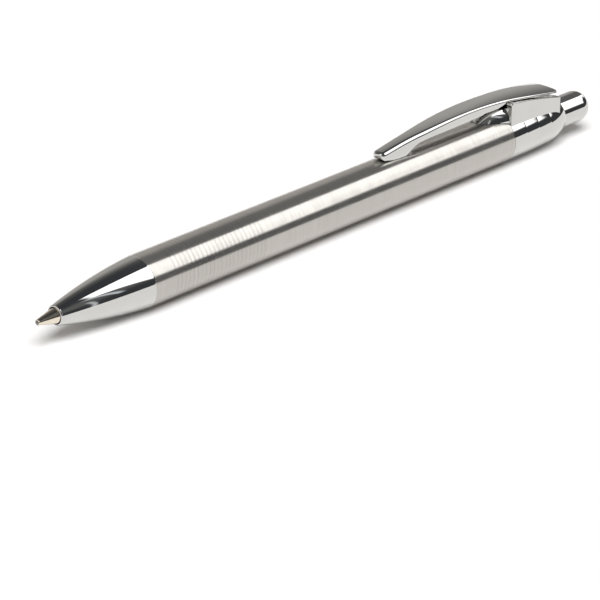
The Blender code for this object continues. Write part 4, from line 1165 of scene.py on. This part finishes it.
def make_spring(name, node, mean, wire, turns, points, length, place):
    """A coil between two bodies. place turns it from upright at the origin to where it works."""
    piece = new_piece(name, bpy.data.meshes.new(name), spring_steel)
    piece = run_nodes(
        piece,
        coil_winder,
        {
            "Mean Radius": mean,
            "Wire Radius": wire,
            "Height": length,
            "Turns": turns,
            "Points": points,
            "Finish": spring_steel,
        },
    )
    piece.data.transform(place)
    keep_sharp(piece.data)
    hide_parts(node)
    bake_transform(piece)


make_barrel()
make_nose()
make_collar()
make_clip()
make_button()
make_tip()
make_ball()

coil_place = Matrix.Translation((SEAM_X + COIL_START, 0.0, AXIS_Z))
make_spring(
    "return_coil",
    "return_spring",
    mean=1.85 * MM,
    wire=0.2 * MM,
    turns=9.0,
    points=500,
    length=COIL_LENGTH,
    place=coil_place @ Matrix.Rotation(math.pi / 2, 4, "Y"),
)
spring_low, spring_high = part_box("clip_spring")
make_spring(
    "clip_coil",
    "clip_spring",
    mean=0.975 * MM,
    wire=0.125 * MM,
    turns=2.5,
    points=160,
    length=spring_high.z - spring_low.z,
    place=Matrix.Translation(((spring_low.x + spring_high.x) / 2, 0.0, spring_low.z)),
)

carried = {
    "nose_liner": dark_plastic,
    "nose_seal": seal_rubber,
    "front_bush": bush_brass,
    "rear_bush": bush_brass,
    "cam_sleeve": pale_plastic,
    "plunger": pale_plastic,
    "rotor_cam": pale_plastic,
    "clip_pin": spring_steel,
    "refill_body": refill_steel,
    "refill_plug": dark_plastic,
    "ink_column": ink,
}
for node, finish in carried.items():
    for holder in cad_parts[node].material_slots:
        holder.material = finish


# Studio


def make_light_panel():
    """A four-sided panel of light or shade in the sky. Each edge is told by the way inwards."""
    edges = ("Lower", "Upper", "Left", "Right")
    tree, board, given, out = new_group(
        "Light panel",
        "ShaderNodeTree",
        {"Direction": VECTOR}
        | {f"{edge} edge": (0.0, 0.0, 1.0) for edge in edges}
        | {f"{edge} softness": 0.03 for edge in edges},
        {"Mask": FLOAT},
    )
    mask = None
    for edge in edges:
        inside = board.vector("DOT_PRODUCT", given["Direction"], given[f"{edge} edge"])
        soft = given[f"{edge} softness"]
        side = board.ramp(inside, board.math("MULTIPLY", soft, -1.0), soft)
        mask = side if mask is None else board.math("MULTIPLY", mask, side)
    board.put(out["Mask"], mask)
    return tree


def aim(azimuth, elevation):
    """A direction, with azimuth from the button's end towards the far side."""
    a, e = math.radians(azimuth), math.radians(elevation)
    return Vector((math.cos(a) * math.cos(e), math.sin(a) * math.cos(e), math.sin(e)))


def edge_through(first, second, inside):
    """The inward way of a straight edge through two directions, each (azimuth, elevation)."""
    normal = aim(*first).cross(aim(*second)).normalized()
    return tuple(normal if normal.dot(aim(*inside)) > 0 else -normal)


def make_world():
    world = bpy.data.worlds.new("studio")
    bpy.context.scene.world = world
    world.use_nodes = True
    tree = world.node_tree
    tree.nodes.clear()
    board = Board(tree)
    direction = board.add("ShaderNodeTexCoord").outputs["Generated"]
    panel = make_light_panel()

    def lay(sky, color, middle, lower, upper, left, right, soft):
        made = board.group(
            panel,
            Direction=direction,
            Lower_edge=edge_through(*lower, middle),
            Upper_edge=edge_through(*upper, middle),
            Left_edge=edge_through(*left, middle),
            Right_edge=edge_through(*right, middle),
            Lower_softness=soft[0],
            Upper_softness=soft[1],
            Left_softness=soft[2],
            Right_softness=soft[3],
        )
        return board.blend(made.outputs[0], sky, (*color, 1))

    parts = board.split(direction)
    across, height = parts[1], parts[2]

    # Dark room: a little lighter at middle heights, darkest overhead and low in front
    sky = board.blend(board.ramp(height, 0.62, 0.92), (0.15, 0.15, 0.15, 1), (0.05, 0.053, 0.06, 1))
    low = board.ramp(height, 0.2, 0.5, 1.0, 0.0)
    low_front = board.math("MULTIPLY", low, board.ramp(across, -0.45, -0.1, 1.0, 0.0))
    sky = board.blend(low_front, sky, (0.052, 0.054, 0.058, 1))

    # Grey wall behind the pen
    higher = board.ramp(height, 0.4, 0.86)
    wall = board.blend(higher, (0.49, 0.475, 0.455, 1), (0.09, 0.09, 0.088, 1))
    behind = board.ramp(board.vector("DOT_PRODUCT", direction, (-0.574, 0.819, 0.0)), -0.06, 0.1)
    sky = board.blend(behind, sky, wall)

    # Window panel at the far left of the room, which only other views see
    sky = lay(
        sky, (1.25, 1.25, 1.25), (165, 38),
        ((130, 18), (200, 18)), ((130, 62), (200, 62)),
        ((125, 20), (125, 60)), ((205, 20), (205, 60)),
        (0.05, 0.05, 0.05, 0.05),
    )
    # Main soft box, high at the front right
    sky = lay(
        sky, (2.3, 2.3, 2.3), (-40, 42),
        ((-38, 19), (-58, 19)), ((-45, 62), (-9, 47)),
        ((-59, 57), (-66, 45)), ((-63, 37), (-57, 20)),
        (0.05, 0.012, 0.02, 0.02),
    )
    # Dark wall low at the right, under the soft box
    sky = lay(
        sky, (0.055, 0.056, 0.058), (-18, 12),
        ((-40, -5), (0, -5)), ((-33, 28), (0, 28)),
        ((-38.5, 8), (-32, 27)), ((3, 0), (3, 30)),
        (0.02, 0.05, 0.06, 0.05),
    )
    # Two narrow strips beside it
    sky = lay(
        sky, (0.75, 0.8, 0.86), (-67, 30),
        ((-50, 15), (-80, 15)), ((-60, 44), (-75, 44)),
        ((-69.2, 44), (-67, 18)), ((-66.4, 44), (-65.2, 18)),
        (0.05, 0.05, 0.008, 0.012),
    )
    sky = lay(
        sky, (0.7, 0.72, 0.74), (-72.5, 12),
        ((-50, -3), (-80, -3)), ((-60, 27), (-80, 27)),
        ((-73.1, 30), (-73.1, -3)), ((-72.0, 30), (-72.0, -3)),
        (0.01, 0.06, 0.004, 0.004),
    )
    path = board.add("ShaderNodeLightPath")

    def background(color, strength=1.0):
        made = board.add("ShaderNodeBackground")
        board.put(made.inputs["Color"], color)
        board.put(made.inputs["Strength"], strength)
        return made.outputs[0]

    def choose(ray, otherwise, chosen):
        made = board.add("ShaderNodeMixShader")
        for socket, value in zip(made.inputs, (path.outputs[ray], otherwise, chosen)):
            board.put(socket, value)
        return made.outputs[0]

    # The metal mirrors the room, the paper gets plain soft light and the camera sees white
    light = choose("Is Glossy Ray", background((1, 0.94, 0.89, 1), 0.25), background(sky))
    result = board.add("ShaderNodeOutputWorld")
    board.put(result.inputs[0], choose("Is Camera Ray", light, background((1, 1, 1, 1))))


def make_floor():
    paper = bpy.data.materials.new("studio_paper")
    paper.use_nodes = True
    tree = paper.node_tree
    tree.nodes.clear()
    board = Board(tree)
    shade = board.add("ShaderNodeBsdfDiffuse")
    board.put(shade.inputs["Color"], (0.97, 0.97, 0.97, 1))
    result = board.add("ShaderNodeOutputMaterial")
    board.put(result.inputs[0], shade.outputs[0])
    corners = ((-1.6, -0.15), (1.6, -0.11), (1.6, 2.4), (-1.6, 2.4))
    mesh = bpy.data.meshes.new("floor")
    mesh.from_pydata([(x, y, 0.0) for x, y in corners], [], [(0, 1, 2, 3)])
    floor = new_piece("floor", mesh, paper)


def make_lamp(name, towards, strength, spread_angle):
    """A wide soft lamp, so far off that the paper is lit evenly."""
    data = bpy.data.lights.new(name, "SUN")
    data.energy = strength
    data.angle = math.radians(spread_angle)
    lamp = bpy.data.objects.new(name, data)
    lamp.rotation_euler = towards.to_track_quat("Z", "Y").to_euler()
    lamp.visible_glossy = False
    bpy.context.scene.collection.objects.link(lamp)


def make_camera():
    data = bpy.data.cameras.new("photo_camera")
    data.lens = LENS
    data.sensor_width = 36.0
    data.clip_start = 0.01
    data.clip_end = 20.0
    camera = bpy.data.objects.new("photo_camera", data)
    right = Vector(CAMERA_RIGHT).normalized()
    back = Vector(CAMERA_BACK).normalized()
    up = back.cross(right)
    turn = Matrix((right, up, back)).transposed()
    camera.matrix_world = Matrix.Translation(CAMERA_PLACE) @ turn.to_4x4()
    bpy.context.scene.collection.objects.link(camera)
    bpy.context.scene.camera = camera


make_world()
make_floor()
make_lamp("soft_box", aim(-128, 64.5), strength=2.85, spread_angle=42)
make_camera()
bpy.context.scene.view_settings.view_transform = "Standard"
